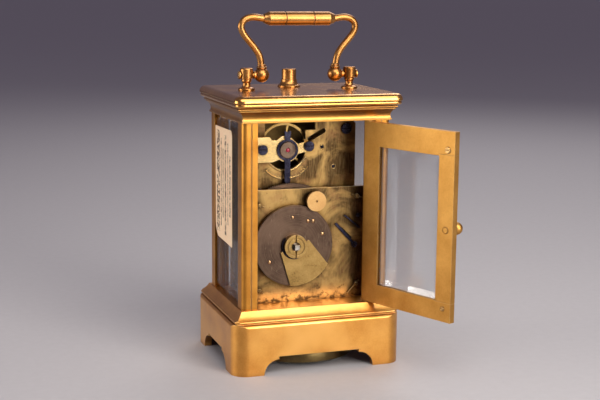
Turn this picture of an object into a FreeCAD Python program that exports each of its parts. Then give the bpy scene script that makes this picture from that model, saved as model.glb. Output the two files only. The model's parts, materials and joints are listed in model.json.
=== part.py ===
import FreeCAD, Part
import math
import os
import Sketcher

# Brass carriage clock for a mantel shelf: glazed case, carrying handle, repeat button,
# hinged rear door and a spring-driven movement. Millimetres.
# +Z is up, the dial looks along -Y, the door is at +Y, z = 0 is the shelf.

os.makedirs("parts", exist_ok=True)
doc = FreeCAD.newDocument("CarriageClock")
sheet = doc.addObject("Spreadsheet::Sheet", "Dims")
Vector = FreeCAD.Vector

# --------------------------------------------------------------------------------------
# Driving dimensions
# --------------------------------------------------------------------------------------
DIMENSIONS = {
    # case
    "plinth_width": 74.0, "plinth_depth": 61.0, "plinth_corner": 6.5, "plinth_top": 21.6,
    "plinth_wall": 3.2, "floor_under": 22.6, "floor_top": 26.6, "foot_length": 13.0,
    "arch_round": 6.4, "arch_height": 7.6,
    "body_width": 64.0, "body_depth": 50.0, "pillar_size": 6.5, "pillar_round": 2.0,
    "cornice_low": 103.8, "band_low": 110.4, "top_height": 115.0,
    "top_width": 72.6, "top_depth": 61.4, "top_corner": 3.8, "nosing_low": 112.2,
    "nosing_round": 2.4, "band_in": 0.4, "band_round": 0.85,
    "glass_thick": 2.4, "glass_set_back": 0.6, "glass_tuck": 1.1, "glass_bevel": 2.2,
    "slot_play": 0.05,
    # door
    "door_width": 50.4, "door_thick": 2.6, "door_low": 27.0, "door_high": 103.4,
    "hinge_stile": 9.8, "latch_stile": 8.0, "window_low": 35.1, "window_high": 93.4,
    "hinge_in": 2.2, "hinge_pin_radius": 1.0, "hinge_pin_length": 2.2, "door_angle": 113.2,
    "door_glass_thick": 1.3, "door_bevel": 3.6, "knob_height": 64.2,
    # handle
    "post_apart": 46.0, "pivot_height": 121.3, "pivot_radius": 1.0, "ball_radius": 3.2,
    "ball_apart": 32.8, "rod_radius": 1.45, "grip_length": 31.0, "grip_radius": 2.9,
    "grip_height": 144.7,
    # repeat button
    "button_forward": 13.0, "button_radius": 3.15, "button_top": 122.8, "ferrule_radius": 4.9,
    "ferrule_height": 3.3,
    # movement
    "plate_width": 46.4, "plate_thick": 2.0, "plate_foot": 26.6, "back_plate_top": 102.0,
    "front_plate_top": 100.0, "front_plate_front": -12.0, "back_plate_back": 8.0,
    "repeat_plate_back": 15.0, "repeat_plate_top": 74.7, "repeat_plate_width": 49.6, "plate_pillar_radius": 2.2,
    "running_play": 0.05, "pivot_pin": 0.5,
    "dial_height": 66.0, "dial_radius": 21.5, "dial_opening": 19.8,
    "barrel_side": 7.2, "barrel_height": 51.0, "drum_radius": 12.2,
    "disc_radius": 17.1, "collar_radius": 4.95, "winding_radius": 1.45,
    "balance_side": 8.0, "balance_height": 90.5, "balance_radius": 10.9,
    "bell_radius": 25.0,
}


class Size:
    """A length that remembers the spreadsheet formula it comes from."""

    def __init__(self, value, formula):
        self.value = float(value)
        self.formula = formula

    def _with(self, other, sign, value, swapped=False):
        text = other.formula if isinstance(other, Size) else repr(float(other))
        first, second = (text, self.formula) if swapped else (self.formula, text)
        return Size(value, f"({first} {sign} {second})")

    def __add__(self, other):
        return self._with(other, "+", self.value + number(other))

    def __radd__(self, other):
        return self._with(other, "+", number(other) + self.value, swapped=True)

    def __sub__(self, other):
        return self._with(other, "-", self.value - number(other))

    def __rsub__(self, other):
        return self._with(other, "-", number(other) - self.value, swapped=True)

    def __mul__(self, other):
        return self._with(other, "*", self.value * number(other))

    def __rmul__(self, other):
        return self._with(other, "*", number(other) * self.value, swapped=True)

    def __truediv__(self, other):
        return self._with(other, "/", self.value / number(other))

    def __neg__(self):
        return self * -1


def number(size):
    """The plain value of a Size or of a number."""
    return size.value if isinstance(size, Size) else float(size)


def fill_sheet():
    """Write every driving dimension to the spreadsheet and return them as Sizes."""
    sizes = {}
    for row, (name, value) in enumerate(DIMENSIONS.items(), start=1):
        sheet.set(f"A{row}", name)
        sheet.set(f"B{row}", str(value))
        sheet.setAlias(f"B{row}", name)
        sizes[name] = Size(value, f"Dims.{name}")
    doc.recompute()
    return sizes


D = fill_sheet()


def bind(target, path, size):
    """Bind one property of an object to the spreadsheet."""
    if isinstance(size, Size):
        target.setExpression(path, size.formula)


def place(target, at):
    """Put an object's own origin at a point given as Sizes or numbers."""
    turn = target.Placement.Rotation
    target.Placement = FreeCAD.Placement(Vector(*[number(c) for c in at]), turn)
    for axis, size in zip("xyz", at):
        bind(target, f"Placement.Base.{axis}", size)
    return target


# --------------------------------------------------------------------------------------
# Building blocks
# --------------------------------------------------------------------------------------
counter = {}


def fresh(name):
    """An object name that is not used yet."""
    counter[name] = counter.get(name, 0) + 1
    return f"{name}_{counter[name]}"


def arc_between(start, end, radius, turn):
    """The shorter arc from start to end: turn is 1 anticlockwise, -1 clockwise."""
    chord = end - start
    half = chord.Length / 2
    rise = math.sqrt(max(radius * radius - half * half, 0.0))
    side = Vector(-chord.y, chord.x, 0).normalize() * turn
    centre = (start + end) * 0.5 + side * rise
    low, high = (start, end) if turn > 0 else (end, start)
    begin = math.atan2(low.y - centre.y, low.x - centre.x)
    finish = math.atan2(high.y - centre.y, high.x - centre.x)
    if finish < begin:
        finish += 2 * math.pi
    circle = Part.Circle(centre, Vector(0, 0, 1), radius)
    return Part.ArcOfCircle(circle, begin, finish)


def draw(sketch, outline, holes=()):
    """Draw a closed outline whose corners, radii and holes are bound to the sheet.

    A corner is (a, b), reached by a line, or (a, b, radius, turn), reached by an arc.
    A half-round arc is held by its centre, because its radius alone leaves it loose.
    """
    count = len(outline)
    points = [Vector(number(c[0]), number(c[1]), 0) for c in outline]
    ends = []
    for i, corner in enumerate(outline):
        start, end = points[i - 1], points[i]
        if len(corner) == 2:
            edge = sketch.addGeometry(Part.LineSegment(start, end))
            ends.append((edge, 1, 2))
        else:
            edge = sketch.addGeometry(arc_between(start, end, number(corner[2]), corner[3]))
            ends.append((edge, 1, 2) if corner[3] > 0 else (edge, 2, 1))
    for i in range(count):
        edge, _, last = ends[i]
        following, first, _ = ends[(i + 1) % count]
        sketch.addConstraint(Sketcher.Constraint("Coincident", edge, last, following, first))
    for i, corner in enumerate(outline):
        edge, _, last = ends[i]
        hold_point(sketch, edge, last, corner[0], corner[1])
        if len(corner) > 2:
            chord = points[i] - points[i - 1]
            if chord.Length < 1.999 * number(corner[2]):
                hold_radius(sketch, edge, corner[2])
            elif abs(chord.x) < abs(chord.y):
                hold(sketch, "DistanceX", edge, 3, corner[0])
            else:
                hold(sketch, "DistanceY", edge, 3, corner[1])
    for a, b, radius in holes:
        centre = Vector(number(a), number(b), 0)
        edge = sketch.addGeometry(Part.Circle(centre, Vector(0, 0, 1), number(radius)))
        hold_point(sketch, edge, 3, a, b)
        hold_radius(sketch, edge, radius)


def hold(sketch, kind, edge, point, size):
    """Fix one coordinate of a point: 1 is an edge's start, 2 its end, 3 its centre."""
    index = sketch.addConstraint(Sketcher.Constraint(kind, -1, 1, edge, point, number(size)))
    bind(sketch, f"Constraints[{index}]", size)


def hold_point(sketch, edge, point, a, b):
    hold(sketch, "DistanceX", edge, point, a)
    hold(sketch, "DistanceY", edge, point, b)


def hold_radius(sketch, edge, radius):
    index = sketch.addConstraint(Sketcher.Constraint("Radius", edge, number(radius)))
    bind(sketch, f"Constraints[{index}]", radius)


def sketch_on(body, plane, offset=0):
    """A sketch on one of a body's own origin planes, moved along the plane's normal."""
    sketch = body.newObject("Sketcher::SketchObject", fresh("sketch"))
    face = [f for f in body.Origin.OriginFeatures if f.Role == f"{plane}_Plane"][0]
    sketch.AttachmentSupport = [(face, "")]
    sketch.MapMode = "FlatFace"
    sketch.AttachmentOffset = FreeCAD.Placement(Vector(0, 0, number(offset)), FreeCAD.Rotation())
    bind(sketch, "AttachmentOffset.Base.z", offset)
    return sketch


def prism(plane, outline, low, high, holes=()):
    """A padded outline on XY, XZ or YZ between two places along the remaining axis."""
    body = doc.addObject("PartDesign::Body", fresh("prism"))
    # the XZ plane's normal is -Y, so that sketch starts at the high end
    sketch = sketch_on(body, plane, -high if plane == "XZ" else low)
    draw(sketch, outline, holes)
    pad = body.newObject("PartDesign::Pad", fresh("pad"))
    pad.Profile = sketch
    pad.Length = number(high) - number(low)
    bind(pad, "Length", high - low)
    body.Tip = pad
    return body


def turned(outline, at=(0, 0, 0), axis="Z"):
    """A turned piece: outline in (radius, along), turned about an axis through a point."""
    body = doc.addObject("PartDesign::Body", fresh("turned"))
    sketch = sketch_on(body, "XZ")
    draw(sketch, outline)
    turn = body.newObject("PartDesign::Revolution", fresh("revolution"))
    turn.Profile = sketch
    turn.ReferenceAxis = (sketch, ["V_Axis"])
    turn.Angle = 360
    body.Tip = turn
    aim(body, axis)
    return place(body, at)


AIMS = {
    "Z": FreeCAD.Rotation(),
    "-Z": FreeCAD.Rotation(Vector(1, 0, 0), 180),
    "Y": FreeCAD.Rotation(Vector(1, 0, 0), -90),
    "-Y": FreeCAD.Rotation(Vector(1, 0, 0), 90),
    "X": FreeCAD.Rotation(Vector(0, 1, 0), 90),
    "-X": FreeCAD.Rotation(Vector(0, 1, 0), -90),
}


def aim(target, axis):
    target.Placement = FreeCAD.Placement(target.Placement.Base, AIMS[axis])


def rod(radius, length, at, axis="Z"):
    """A cylinder that starts at a point and runs along an axis."""
    cylinder = doc.addObject("Part::Cylinder", fresh("rod"))
    cylinder.Radius = number(radius)
    cylinder.Height = number(length)
    bind(cylinder, "Radius", radius)
    bind(cylinder, "Height", length)
    aim(cylinder, axis)
    return place(cylinder, at)


def ball(radius, at):
    sphere = doc.addObject("Part::Sphere", fresh("ball"))
    sphere.Radius = number(radius)
    bind(sphere, "Radius", radius)
    return place(sphere, at)


def block(low, high):
    """A box between two corners."""
    box = doc.addObject("Part::Box", fresh("block"))
    for side, a, b in zip(("Length", "Width", "Height"), low, high):
        setattr(box, side, number(b) - number(a))
        bind(box, side, b - a)
    return place(box, low)


def slanted_bar(start, end, width, low, high):
    """A straight bar lying in an XZ plane, with rounded ends, between two Y places."""
    run = Vector(end[0] - start[0], 0, end[1] - start[1])
    lean = math.degrees(math.atan2(run.z, run.x))
    half = width / 2
    outline = [(0, half), (0, -half, half, 1), (run.Length, -half), (run.Length, half, half, 1)]
    bar = prism("XZ", outline, low, high)
    bar.Placement = FreeCAD.Placement(
        Vector(start[0], 0, start[1]), FreeCAD.Rotation(Vector(0, 1, 0), -lean))
    return bar


def cut(base, *tools):
    tool = tools[0] if len(tools) == 1 else join(*tools, refine=False)
    result = doc.addObject("Part::Cut", fresh("cut"))
    result.Base = base
    result.Tool = tool
    return result


def join(*pieces, refine=True):
    result = doc.addObject("Part::MultiFuse", fresh("join"))
    result.Shapes = list(pieces)
    result.Refine = refine
    return result


def common(*pieces):
    result = doc.addObject("Part::MultiCommon", fresh("common"))
    result.Shapes = list(pieces)
    return result


def group(*pieces):
    """Separate solids that share one node."""
    result = doc.addObject("Part::Compound", fresh("group"))
    result.Links = list(pieces)
    return result


def shaped(shape):
    """A piece whose shape is worked out in code from the sheet."""
    feature = doc.addObject("Part::Feature", fresh("shaped"))
    feature.Shape = shape
    return feature


nodes = {}


def node(label, piece):
    """Name a finished sub-part, which also names its file."""
    piece.Label = label
    nodes[label] = piece
    return piece


def rounded_plan(width, depth, radius, low, high):
    """A block with rounded upright corners, centred on the clock's axis."""
    a, b = width / 2, depth / 2
    outline = [
        (a - radius, -b), (a, radius - b, radius, 1), (a, b - radius),
        (a - radius, b, radius, 1), (radius - a, b), (-a, b - radius, radius, 1),
        (-a, radius - b), (radius - a, -b, radius, 1),
    ]
    return prism("XY", outline, low, high)


def moulding(half_width, half_depth, profile, plan):
    """A moulding mitred round the case: profile is (out from the half size, height, ...)."""
    def both_sides(half):
        right = [(half + c[0], *c[1:]) for c in profile]
        left = []
        for i in range(len(profile) - 1, -1, -1):
            here = profile[i]
            after = profile[i + 1] if i + 1 < len(profile) else ()
            left.append((-(half + here[0]), here[1], *after[2:]))
        return right + left

    along = prism("XZ", both_sides(half_width), -half_depth - 10, half_depth + 10)
    across = prism("YZ", both_sides(half_depth), -half_width - 10, half_width + 10)
    return common(along, across, plan)


# --------------------------------------------------------------------------------------
# Case
# --------------------------------------------------------------------------------------
BODY_X = D["body_width"] / 2
BODY_Y = D["body_depth"] / 2
OPENING_X = BODY_X - D["pillar_size"]
OPENING_Y = BODY_Y - D["pillar_size"]
HINGE_X = D["hinge_in"] - D["door_width"] / 2
HINGE_Y = BODY_Y - D["door_thick"] / 2
HAMMER_X = -14.0
HAMMER_Z = 36.0
HAMMER_Y = -4.5
SCREW_SHANK = 1.2
FOOT_SHANK = 0.7
SCREW_PLAY = 0.03


def pillar_centres():
    centre_x = BODY_X - D["pillar_size"] / 2
    centre_y = BODY_Y - D["pillar_size"] / 2
    return [(sx * centre_x, sy * centre_y) for sx in (1, -1) for sy in (1, -1)]


MOVEMENT_SCREWS = [(17.0, -11.0), (-17.0, -11.0), (17.0, 7.0), (-17.0, 7.0)]


def base_plinth():
    """Hollow cast base: bracket feet, plain sides, a bead and a sloped moulding."""
    half_x, half_y = D["plinth_width"] / 2, D["plinth_depth"] / 2
    top = D["plinth_top"]
    slope = BODY_X + 0.6 - half_x
    profile = [
        (0, -1), (0, top - 1.3), (-1.3, top, 1.3, 1), (-1.7, top), (-1.7, top + 0.5),
        (-1.2, top + 0.6), (-1.2, top + 1.3, 0.45, 1), (-1.6, top + 1.5),
        (slope, D["floor_top"], 9.0, -1),
    ]
    plan = rounded_plan(D["plinth_width"], D["plinth_depth"], D["plinth_corner"],
                        0, D["floor_top"])
    solid = moulding(half_x, half_y, profile, plan)
    wall = D["plinth_wall"]
    hollow = rounded_plan(D["plinth_width"] - wall * 2, D["plinth_depth"] - wall * 2,
                          D["plinth_corner"] - wall, -1, D["floor_under"])

    def arch(half):
        foot, round_, rise = half - D["foot_length"], D["arch_round"], D["arch_height"]
        inner = foot - round_
        return [
            (foot, -1), (foot, 0), (inner, round_, round_, 1), (inner, rise),
            (-inner, rise), (-inner, round_), (-foot, 0, round_, 1), (-foot, -1),
        ]

    arches = [
        prism("XZ", arch(half_x), -half_y - 1, half_y + 1),
        prism("YZ", arch(half_y), -half_x - 1, half_x + 1),
    ]
    through = D["floor_top"] - D["floor_under"] + 2
    holes = [
        rod(SCREW_SHANK + SCREW_PLAY, through, (x, y, D["floor_under"] - 1))
        for x, y in pillar_centres()
    ]
    holes += [
        rod(FOOT_SHANK + SCREW_PLAY, through, (x, y, D["floor_under"] - 1))
        for x, y in MOVEMENT_SCREWS
    ]
    holes.append(rod(D["hinge_pin_radius"] + D["running_play"], 4,
                     (HINGE_X, HINGE_Y, D["floor_top"] - 3)))
    hammer_slot = block((HAMMER_X - 12, HAMMER_Y - 2, D["floor_under"] - 1),
                        (HAMMER_X - 1, HAMMER_Y + 2, D["floor_top"] + 1))
    bell_hole = rod(1.53, through, (0, 0, D["floor_under"] - 1))
    return cut(solid, hollow, *arches, *holes, hammer_slot, bell_hole)


def pillar(side_x, side_y):
    """Corner pillar with slots that hold the glasses."""
    turn = side_x * side_y
    glass_out = D["glass_set_back"] - D["slot_play"]
    glass_in = D["glass_set_back"] + D["glass_thick"] + D["slot_play"]
    deep = D["glass_tuck"] + 0.1
    out_x, out_y, round_ = BODY_X, BODY_Y, D["pillar_round"]
    corners = [
        (OPENING_X, OPENING_Y), (out_x - glass_in, OPENING_Y),
        (out_x - glass_in, OPENING_Y + deep), (out_x - glass_out, OPENING_Y + deep),
        (out_x - glass_out, OPENING_Y), (out_x, OPENING_Y), (out_x, out_y - round_),
        (out_x - round_, out_y, round_, turn),
    ]
    if side_y < 0:
        corners += [
            (OPENING_X, out_y), (OPENING_X, out_y - glass_out),
            (OPENING_X + deep, out_y - glass_out), (OPENING_X + deep, out_y - glass_in),
            (OPENING_X, out_y - glass_in),
        ]
    else:
        line = OPENING_X + 2.6
        corners += [(line + 0.25, out_y), (line, out_y - 0.25), (line - 0.25, out_y),
                    (OPENING_X, out_y)]
    outline = [(side_x * c[0], side_y * c[1], *c[2:]) for c in corners]
    body = prism("XY", outline, D["floor_top"], D["cornice_low"])
    centre = (side_x * (BODY_X - D["pillar_size"] / 2), side_y * (BODY_Y - D["pillar_size"] / 2))
    bores = [
        rod(SCREW_SHANK + SCREW_PLAY, 9, (*centre, D["floor_top"] - 1)),
        rod(SCREW_SHANK + SCREW_PLAY, 9, (*centre, D["cornice_low"] - 8)),
    ]
    return cut(body, *bores)


def cornice_frame():
    """Moulded frame above the pillars: lip, hollow and bead."""
    low, high = D["cornice_low"], D["band_low"]
    profile = [
        (0.4, low), (0.4, low + 0.7), (0.1, low + 0.8), (1.5, high - 2.0, 3.4, -1),
        (1.7, high - 1.9), (1.7, high - 1.5), (2.1, high - 1.4),
        (2.1, high - 0.5, 0.5, 1), (1.7, high - 0.4), (1.7, high),
    ]
    plan = rounded_plan(D["top_width"] + 1, D["top_depth"] + 1, D["top_corner"], low, high)
    solid = moulding(BODY_X, BODY_Y, profile, plan)
    inside_x, inside_y = BODY_X - 5, BODY_Y - 5
    hollow = block((-inside_x, -inside_y, low - 1), (inside_x, inside_y, high + 1))
    bores = [
        rod(SCREW_SHANK + SCREW_PLAY, 8.6, (x, y, low - 1)) for x, y in pillar_centres()
    ]
    bores.append(rod(D["hinge_pin_radius"] + D["running_play"], 4, (HINGE_X, HINGE_Y, low - 1)))
    return cut(solid, hollow, *bores)


def rounded_over(body, height, radius):
    """Round every edge of a body that lies at one height, all the way round."""
    doc.recompute()
    base = body.Tip
    names = [
        f"Edge{i}" for i, edge in enumerate(base.Shape.Edges, start=1)
        if all(abs(corner.Z - number(height)) < 1e-6 for corner in edge.Vertexes)
    ]
    fillet = body.newObject("PartDesign::Fillet", fresh("fillet"))
    fillet.Base = (base, names)
    fillet.Radius = number(radius)
    bind(fillet, "Radius", radius)
    body.Tip = fillet
    return body


def top_plate():
    """Top plate: a nosing with a rounded upper edge over a half-round band."""
    width, depth, corner = D["top_width"], D["top_depth"], D["top_corner"]
    low, middle, high = D["band_low"], D["nosing_low"], D["top_height"]
    nosing = rounded_over(rounded_plan(width, depth, corner, middle, high), high, D["nosing_round"])
    inset = D["band_in"]
    band = rounded_plan(width - inset * 2, depth - inset * 2, corner - inset, low, middle)
    for height in (low, middle):
        band = rounded_over(band, height, D["band_round"])
    button = rod(D["button_radius"] + D["running_play"], high - low + 2,
                 (0, -D["button_forward"], low - 1))
    studs = [
        rod(1.43, 5, (side * D["post_apart"] / 2, 0, high - 4)) for side in (1, -1)
    ]
    return cut(join(nosing, band), button, *studs)


def bevelled_glass(width, height, thick, bevel, face):
    """A pane standing on the XZ plane with its bevelled face towards +Y."""
    half = width / 2
    edge = thick / 2
    slab = block((-half, 0, 0), (half, edge, height))
    wedge = doc.addObject("Part::Wedge", fresh("wedge"))
    limits = {
        "Xmin": -half, "Xmax": half, "Zmin": 0, "Zmax": height, "Ymin": 0,
        "X2min": bevel - half, "X2max": half - bevel, "Z2min": bevel,
        "Z2max": height - bevel, "Ymax": thick - edge,
    }
    for name, size in limits.items():
        setattr(wedge, name, number(size))
        bind(wedge, name, size)
    # the wedge narrows with Y and stands on the slab
    place(wedge, (0, edge, 0))
    pane = join(slab, wedge)
    pane.Placement = face
    return pane


def upright_pane(width, spin, at):
    """A case glass, turned about Z by spin degrees and moved into its slots."""
    face = FreeCAD.Placement(Vector(*[number(c) for c in at]),
                             FreeCAD.Rotation(Vector(0, 0, 1), spin))
    height = D["cornice_low"] - D["floor_top"] - 0.2
    return bevelled_glass(width, height, D["glass_thick"], D["glass_bevel"], face)


def glasses():
    tuck = D["glass_tuck"]
    inner_face_x = BODY_X - D["glass_set_back"] - D["glass_thick"]
    inner_face_y = BODY_Y - D["glass_set_back"] - D["glass_thick"]
    foot = D["floor_top"] + 0.1
    node("front_glass",
         upright_pane((OPENING_X + tuck) * 2, 180, (0, -inner_face_y, foot)))
    node("side_glass_left",
         upright_pane((OPENING_Y + tuck) * 2, -90, (inner_face_x, 0, foot)))
    node("side_glass_right",
         upright_pane((OPENING_Y + tuck) * 2, 90, (-inner_face_x, 0, foot)))


def paper_label():
    """Old paper label on the outside of one side glass, torn at two corners."""
    face = BODY_X - D["glass_set_back"] + 0.02
    outline = [
        (-18.2, 98.6), (-18.2, 58.2), (-17.6, 54.0, 9.0, 1), (-14.0, 50.5, 9.0, 1),
        (7.8, 49.6), (7.8, 97.0), (6.5, 98.9),
    ]
    return prism("YZ", outline, face, face + 0.15)


def screw(radius, head, shank, length, at, axis, slot=True):
    """A cheese-head screw: head starts at the point and the shank runs along the axis."""
    body = turned([
        (0, 0), (radius - 0.15, 0), (radius, 0.15), (radius, head), (shank, head),
        (shank, length), (0, length),
    ], at, axis)
    if not slot:
        return body
    width = radius * 0.3
    groove = block((-radius - 1, -width / 2, -1), (radius + 1, width / 2, head * 0.45))
    groove.Placement = body.Placement.multiply(groove.Placement)
    return cut(body, groove)


def case_screws():
    """Screws that hold the pillars and the movement, put in from below the floor."""
    length = D["floor_top"] - D["floor_under"] + 1.0 + 6.0
    from_below = [
        screw(2.2, 1.0, SCREW_SHANK, length, (x, y, D["floor_under"] - 1.0), "Z")
        for x, y in pillar_centres()
    ]
    movement = [
        screw(1.8, 1.0, FOOT_SHANK, 8.5, (x, y, D["floor_under"] - 1.0), "Z")
        for x, y in MOVEMENT_SCREWS
    ]
    studs = [
        rod(SCREW_SHANK, 12, (x, y, D["cornice_low"] - 6)) for x, y in pillar_centres()
    ]
    return group(*from_below, *movement, *studs)


def build_case():
    node("base_plinth", base_plinth())
    for depth, side_y in (("rear", 1), ("front", -1)):
        for width, side_x in (("left", 1), ("right", -1)):
            node(f"pillar_{depth}_{width}", pillar(side_x, side_y))
    node("cornice_frame", cornice_frame())
    node("top_plate", top_plate())
    glasses()
    node("paper_label", paper_label())
    node("case_screws", case_screws())


# --------------------------------------------------------------------------------------
# Handle and repeat button
# --------------------------------------------------------------------------------------
POST_X = D["post_apart"] / 2
BALL_X = D["ball_apart"] / 2
PIVOT_Z = D["pivot_height"]
POST_HEAD_RADIUS = 2.75


def handle_post(side):
    """Turned post: threaded stud, flange, neck and a drilled head."""
    top = D["top_height"]
    flange, waist, shoulder, head_low, head_top = 3.5, 1.65, 2.15, 119.9, 124.3
    outline = [
        (0, top - 3.5), (1.4, top - 3.5), (1.4, top), (flange, top),
        (flange, top + 0.5), (flange - 0.5, top + 1.0, 0.55, 1), (shoulder, top + 1.3),
        (waist, top + 2.5, 1.4, -1), (waist, top + 3.1), (shoulder, top + 3.8),
        (shoulder, head_low - 0.2), (POST_HEAD_RADIUS, head_low + 0.1),
        (POST_HEAD_RADIUS, head_top - 0.7), (POST_HEAD_RADIUS - 0.7, head_top, 0.7, 1),
        (0, head_top),
    ]
    bore = rod(D["pivot_radius"] + 0.02, 12, (side * POST_X - 6, 0, PIVOT_Z), "X")
    return cut(turned(outline, (side * POST_X, 0, 0)), bore)


def handle_pivots():
    """Two slotted pivot screws, from the outer side of each post into the handle's balls."""
    head_out = POST_HEAD_RADIUS + 0.75
    pieces = []
    for side, axis in ((1, "-X"), (-1, "X")):
        start = (side * (POST_X + head_out), 0, PIVOT_Z)
        length = POST_X + head_out - BALL_X - 0.3
        pieces.append(screw(1.7, 0.7, D["pivot_radius"], length, start, axis))
    return group(*pieces)


def handle_rod_path(side):
    """Centre line of one swan-necked arm, from its ball up to the end of the grip."""
    points = [
        (16.5, 123.6), (16.7, 126.0), (17.4, 129.2), (19.4, 132.5), (22.3, 135.9),
        (24.6, 139.0), (25.3, 141.6), (24.2, 143.9), (21.8, 145.1), (18.8, 145.2),
        (number(D["grip_length"]) / 2, number(D["grip_height"])), (13.0, number(D["grip_height"])),
    ]
    curve = Part.BSplineCurve()
    curve.interpolate([Vector(side * x, 0, z) for x, z in points])
    return Part.Wire([curve.toShape()])


def handle_arm(side):
    path = handle_rod_path(side)
    start = path.Edges[0].valueAt(path.Edges[0].FirstParameter)
    along = path.Edges[0].tangentAt(path.Edges[0].FirstParameter)
    ring = Part.Wire([Part.Circle(start, along, number(D["rod_radius"])).toShape()])
    return shaped(path.makePipeShell([ring], True, False))


def handle_bail():
    """Carrying handle: bent rod with a ball, a ring collar and a boss at each end."""
    # the core hidden in the grip is a little thinner than the arms it joins
    pieces = [rod(D["rod_radius"] - 0.15, D["grip_length"] - 4,
                  (2 - D["grip_length"] / 2, 0, D["grip_height"]), "X")]
    bores = []
    for side, outward in ((1, "X"), (-1, "-X")):
        collar = turned([
            (0, 2.6), (2.1, 2.6), (2.35, 3.1), (2.0, 3.5), (1.75, 3.6), (1.9, 4.1),
            (1.6, 4.5), (0, 4.5),
        ], (side * BALL_X, 0, PIVOT_Z))
        boss = rod(1.6, D["ball_radius"] + 0.3, (side * BALL_X, 0, PIVOT_Z), outward)
        pieces += [handle_arm(side), ball(D["ball_radius"], (side * BALL_X, 0, PIVOT_Z)),
                   collar, boss]
        # the pivot screw ends 0.3 mm short of the ball's centre
        bores.append(rod(D["pivot_radius"] + D["running_play"], 8,
                         (side * (BALL_X - 0.2), 0, PIVOT_Z), outward))
    return cut(join(*pieces), *bores)


GRIP_PLAY = 0.15


def handle_grip():
    """Turned grip sleeve with two fine grooves and tapered ends."""
    half, radius, bore = D["grip_length"] / 2, D["grip_radius"], D["rod_radius"] + GRIP_PLAY
    groove, wide, deep = D["grip_length"] / 5, 0.25, 0.3

    def notch(at):
        return [(radius, at - wide), (radius - deep, at), (radius, at + wide)]

    outline = [(bore, -half), (radius - 0.9, -half), (radius - 0.6, 0.9 - half), (radius, 2.2 - half)]
    outline += notch(-groove) + notch(groove)
    outline += [(radius, half - 2.2), (radius - 0.6, half - 0.9), (radius - 0.9, half), (bore, half)]
    return turned(outline, (0, 0, D["grip_height"]), "X")


def button_ferrule():
    """Flared collar in which the repeat button slides."""
    base, foot = D["top_height"], D["ferrule_radius"]
    bore = D["button_radius"] + D["running_play"]
    outline = [
        (bore, base), (foot, base), (foot, base + 0.5), (foot - 0.4, base + 0.9, 0.42, 1),
        (bore + 0.25, base + D["ferrule_height"], 2.6, -1), (bore, base + D["ferrule_height"]),
    ]
    return turned(outline, (0, -D["button_forward"], 0))


PUSH_X = 24.6
PUSH_Y = 12.0
PUSH_LOW = 56.2
PUSH_RADIUS = 0.6
BRIDGE_LOW = 107.0
BRIDGE_HIGH = 108.6


def repeat_button():
    """Button with its stem, a bridge over the movement and a push rod to the repeat work."""
    cap_low = 111.3
    top = D["button_top"]
    radius = D["button_radius"]
    forward = D["button_forward"]
    cap = turned([
        (0, cap_low), (radius, cap_low), (radius, top - 0.5), (radius - 0.5, top, 0.5, 1), (0, top),
    ], (0, -forward, 0))
    stem = rod(1.4, cap_low - BRIDGE_LOW, (0, -forward, BRIDGE_LOW))
    reach = Vector(PUSH_X, PUSH_Y + number(forward), 0)
    bridge = block((0, -1.1, 0), (reach.Length, 1.1, BRIDGE_HIGH - BRIDGE_LOW))
    lean = math.degrees(math.atan2(reach.y, reach.x))
    bridge.Placement = FreeCAD.Placement(
        Vector(0, -number(forward), BRIDGE_LOW), FreeCAD.Rotation(Vector(0, 0, 1), lean))
    push_rod = rod(PUSH_RADIUS, BRIDGE_HIGH - PUSH_LOW, (PUSH_X, PUSH_Y, PUSH_LOW))
    return join(cap, stem, bridge, push_rod)


def build_top_fittings():
    node("handle_post_left", handle_post(1))
    node("handle_post_right", handle_post(-1))
    node("handle_pivots", handle_pivots())
    node("handle_bail", handle_bail())
    node("handle_grip", handle_grip())
    node("button_ferrule", button_ferrule())
    node("repeat_button", repeat_button())


# --------------------------------------------------------------------------------------
# Rear door, built shut and then swung open on its pins
# --------------------------------------------------------------------------------------
DOOR_X = D["door_width"] / 2
DOOR_BACK = BODY_Y
DOOR_FRONT = BODY_Y - D["door_thick"]
WINDOW_LEFT = D["hinge_stile"] - DOOR_X
WINDOW_RIGHT = DOOR_X - D["latch_stile"]
RAIL_LOW = D["window_low"] - 0.3
RAIL_HIGH = D["window_high"] + 0.7
GLASS_GROOVE = 1.4


def swing(piece):
    """Turn a finished door piece about the hinge, to the open rest position."""
    hinge = Vector(number(HINGE_X), number(HINGE_Y), 0)
    spin = FreeCAD.Rotation(Vector(0, 0, 1), number(D["door_angle"]))
    about_hinge = FreeCAD.Placement(hinge - spin.multVec(hinge), spin)
    piece.Placement = about_hinge.multiply(piece.Placement)
    return piece


def door_groove():
    """The space that the pane and its play take out of the frame."""
    middle = (DOOR_BACK + DOOR_FRONT) / 2
    half = GLASS_GROOVE / 2
    tuck = D["glass_tuck"] + 0.1
    return block((WINDOW_LEFT - tuck, middle - half, D["window_low"] - tuck),
                 (WINDOW_RIGHT + tuck, middle + half, D["window_high"] + tuck))


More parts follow.
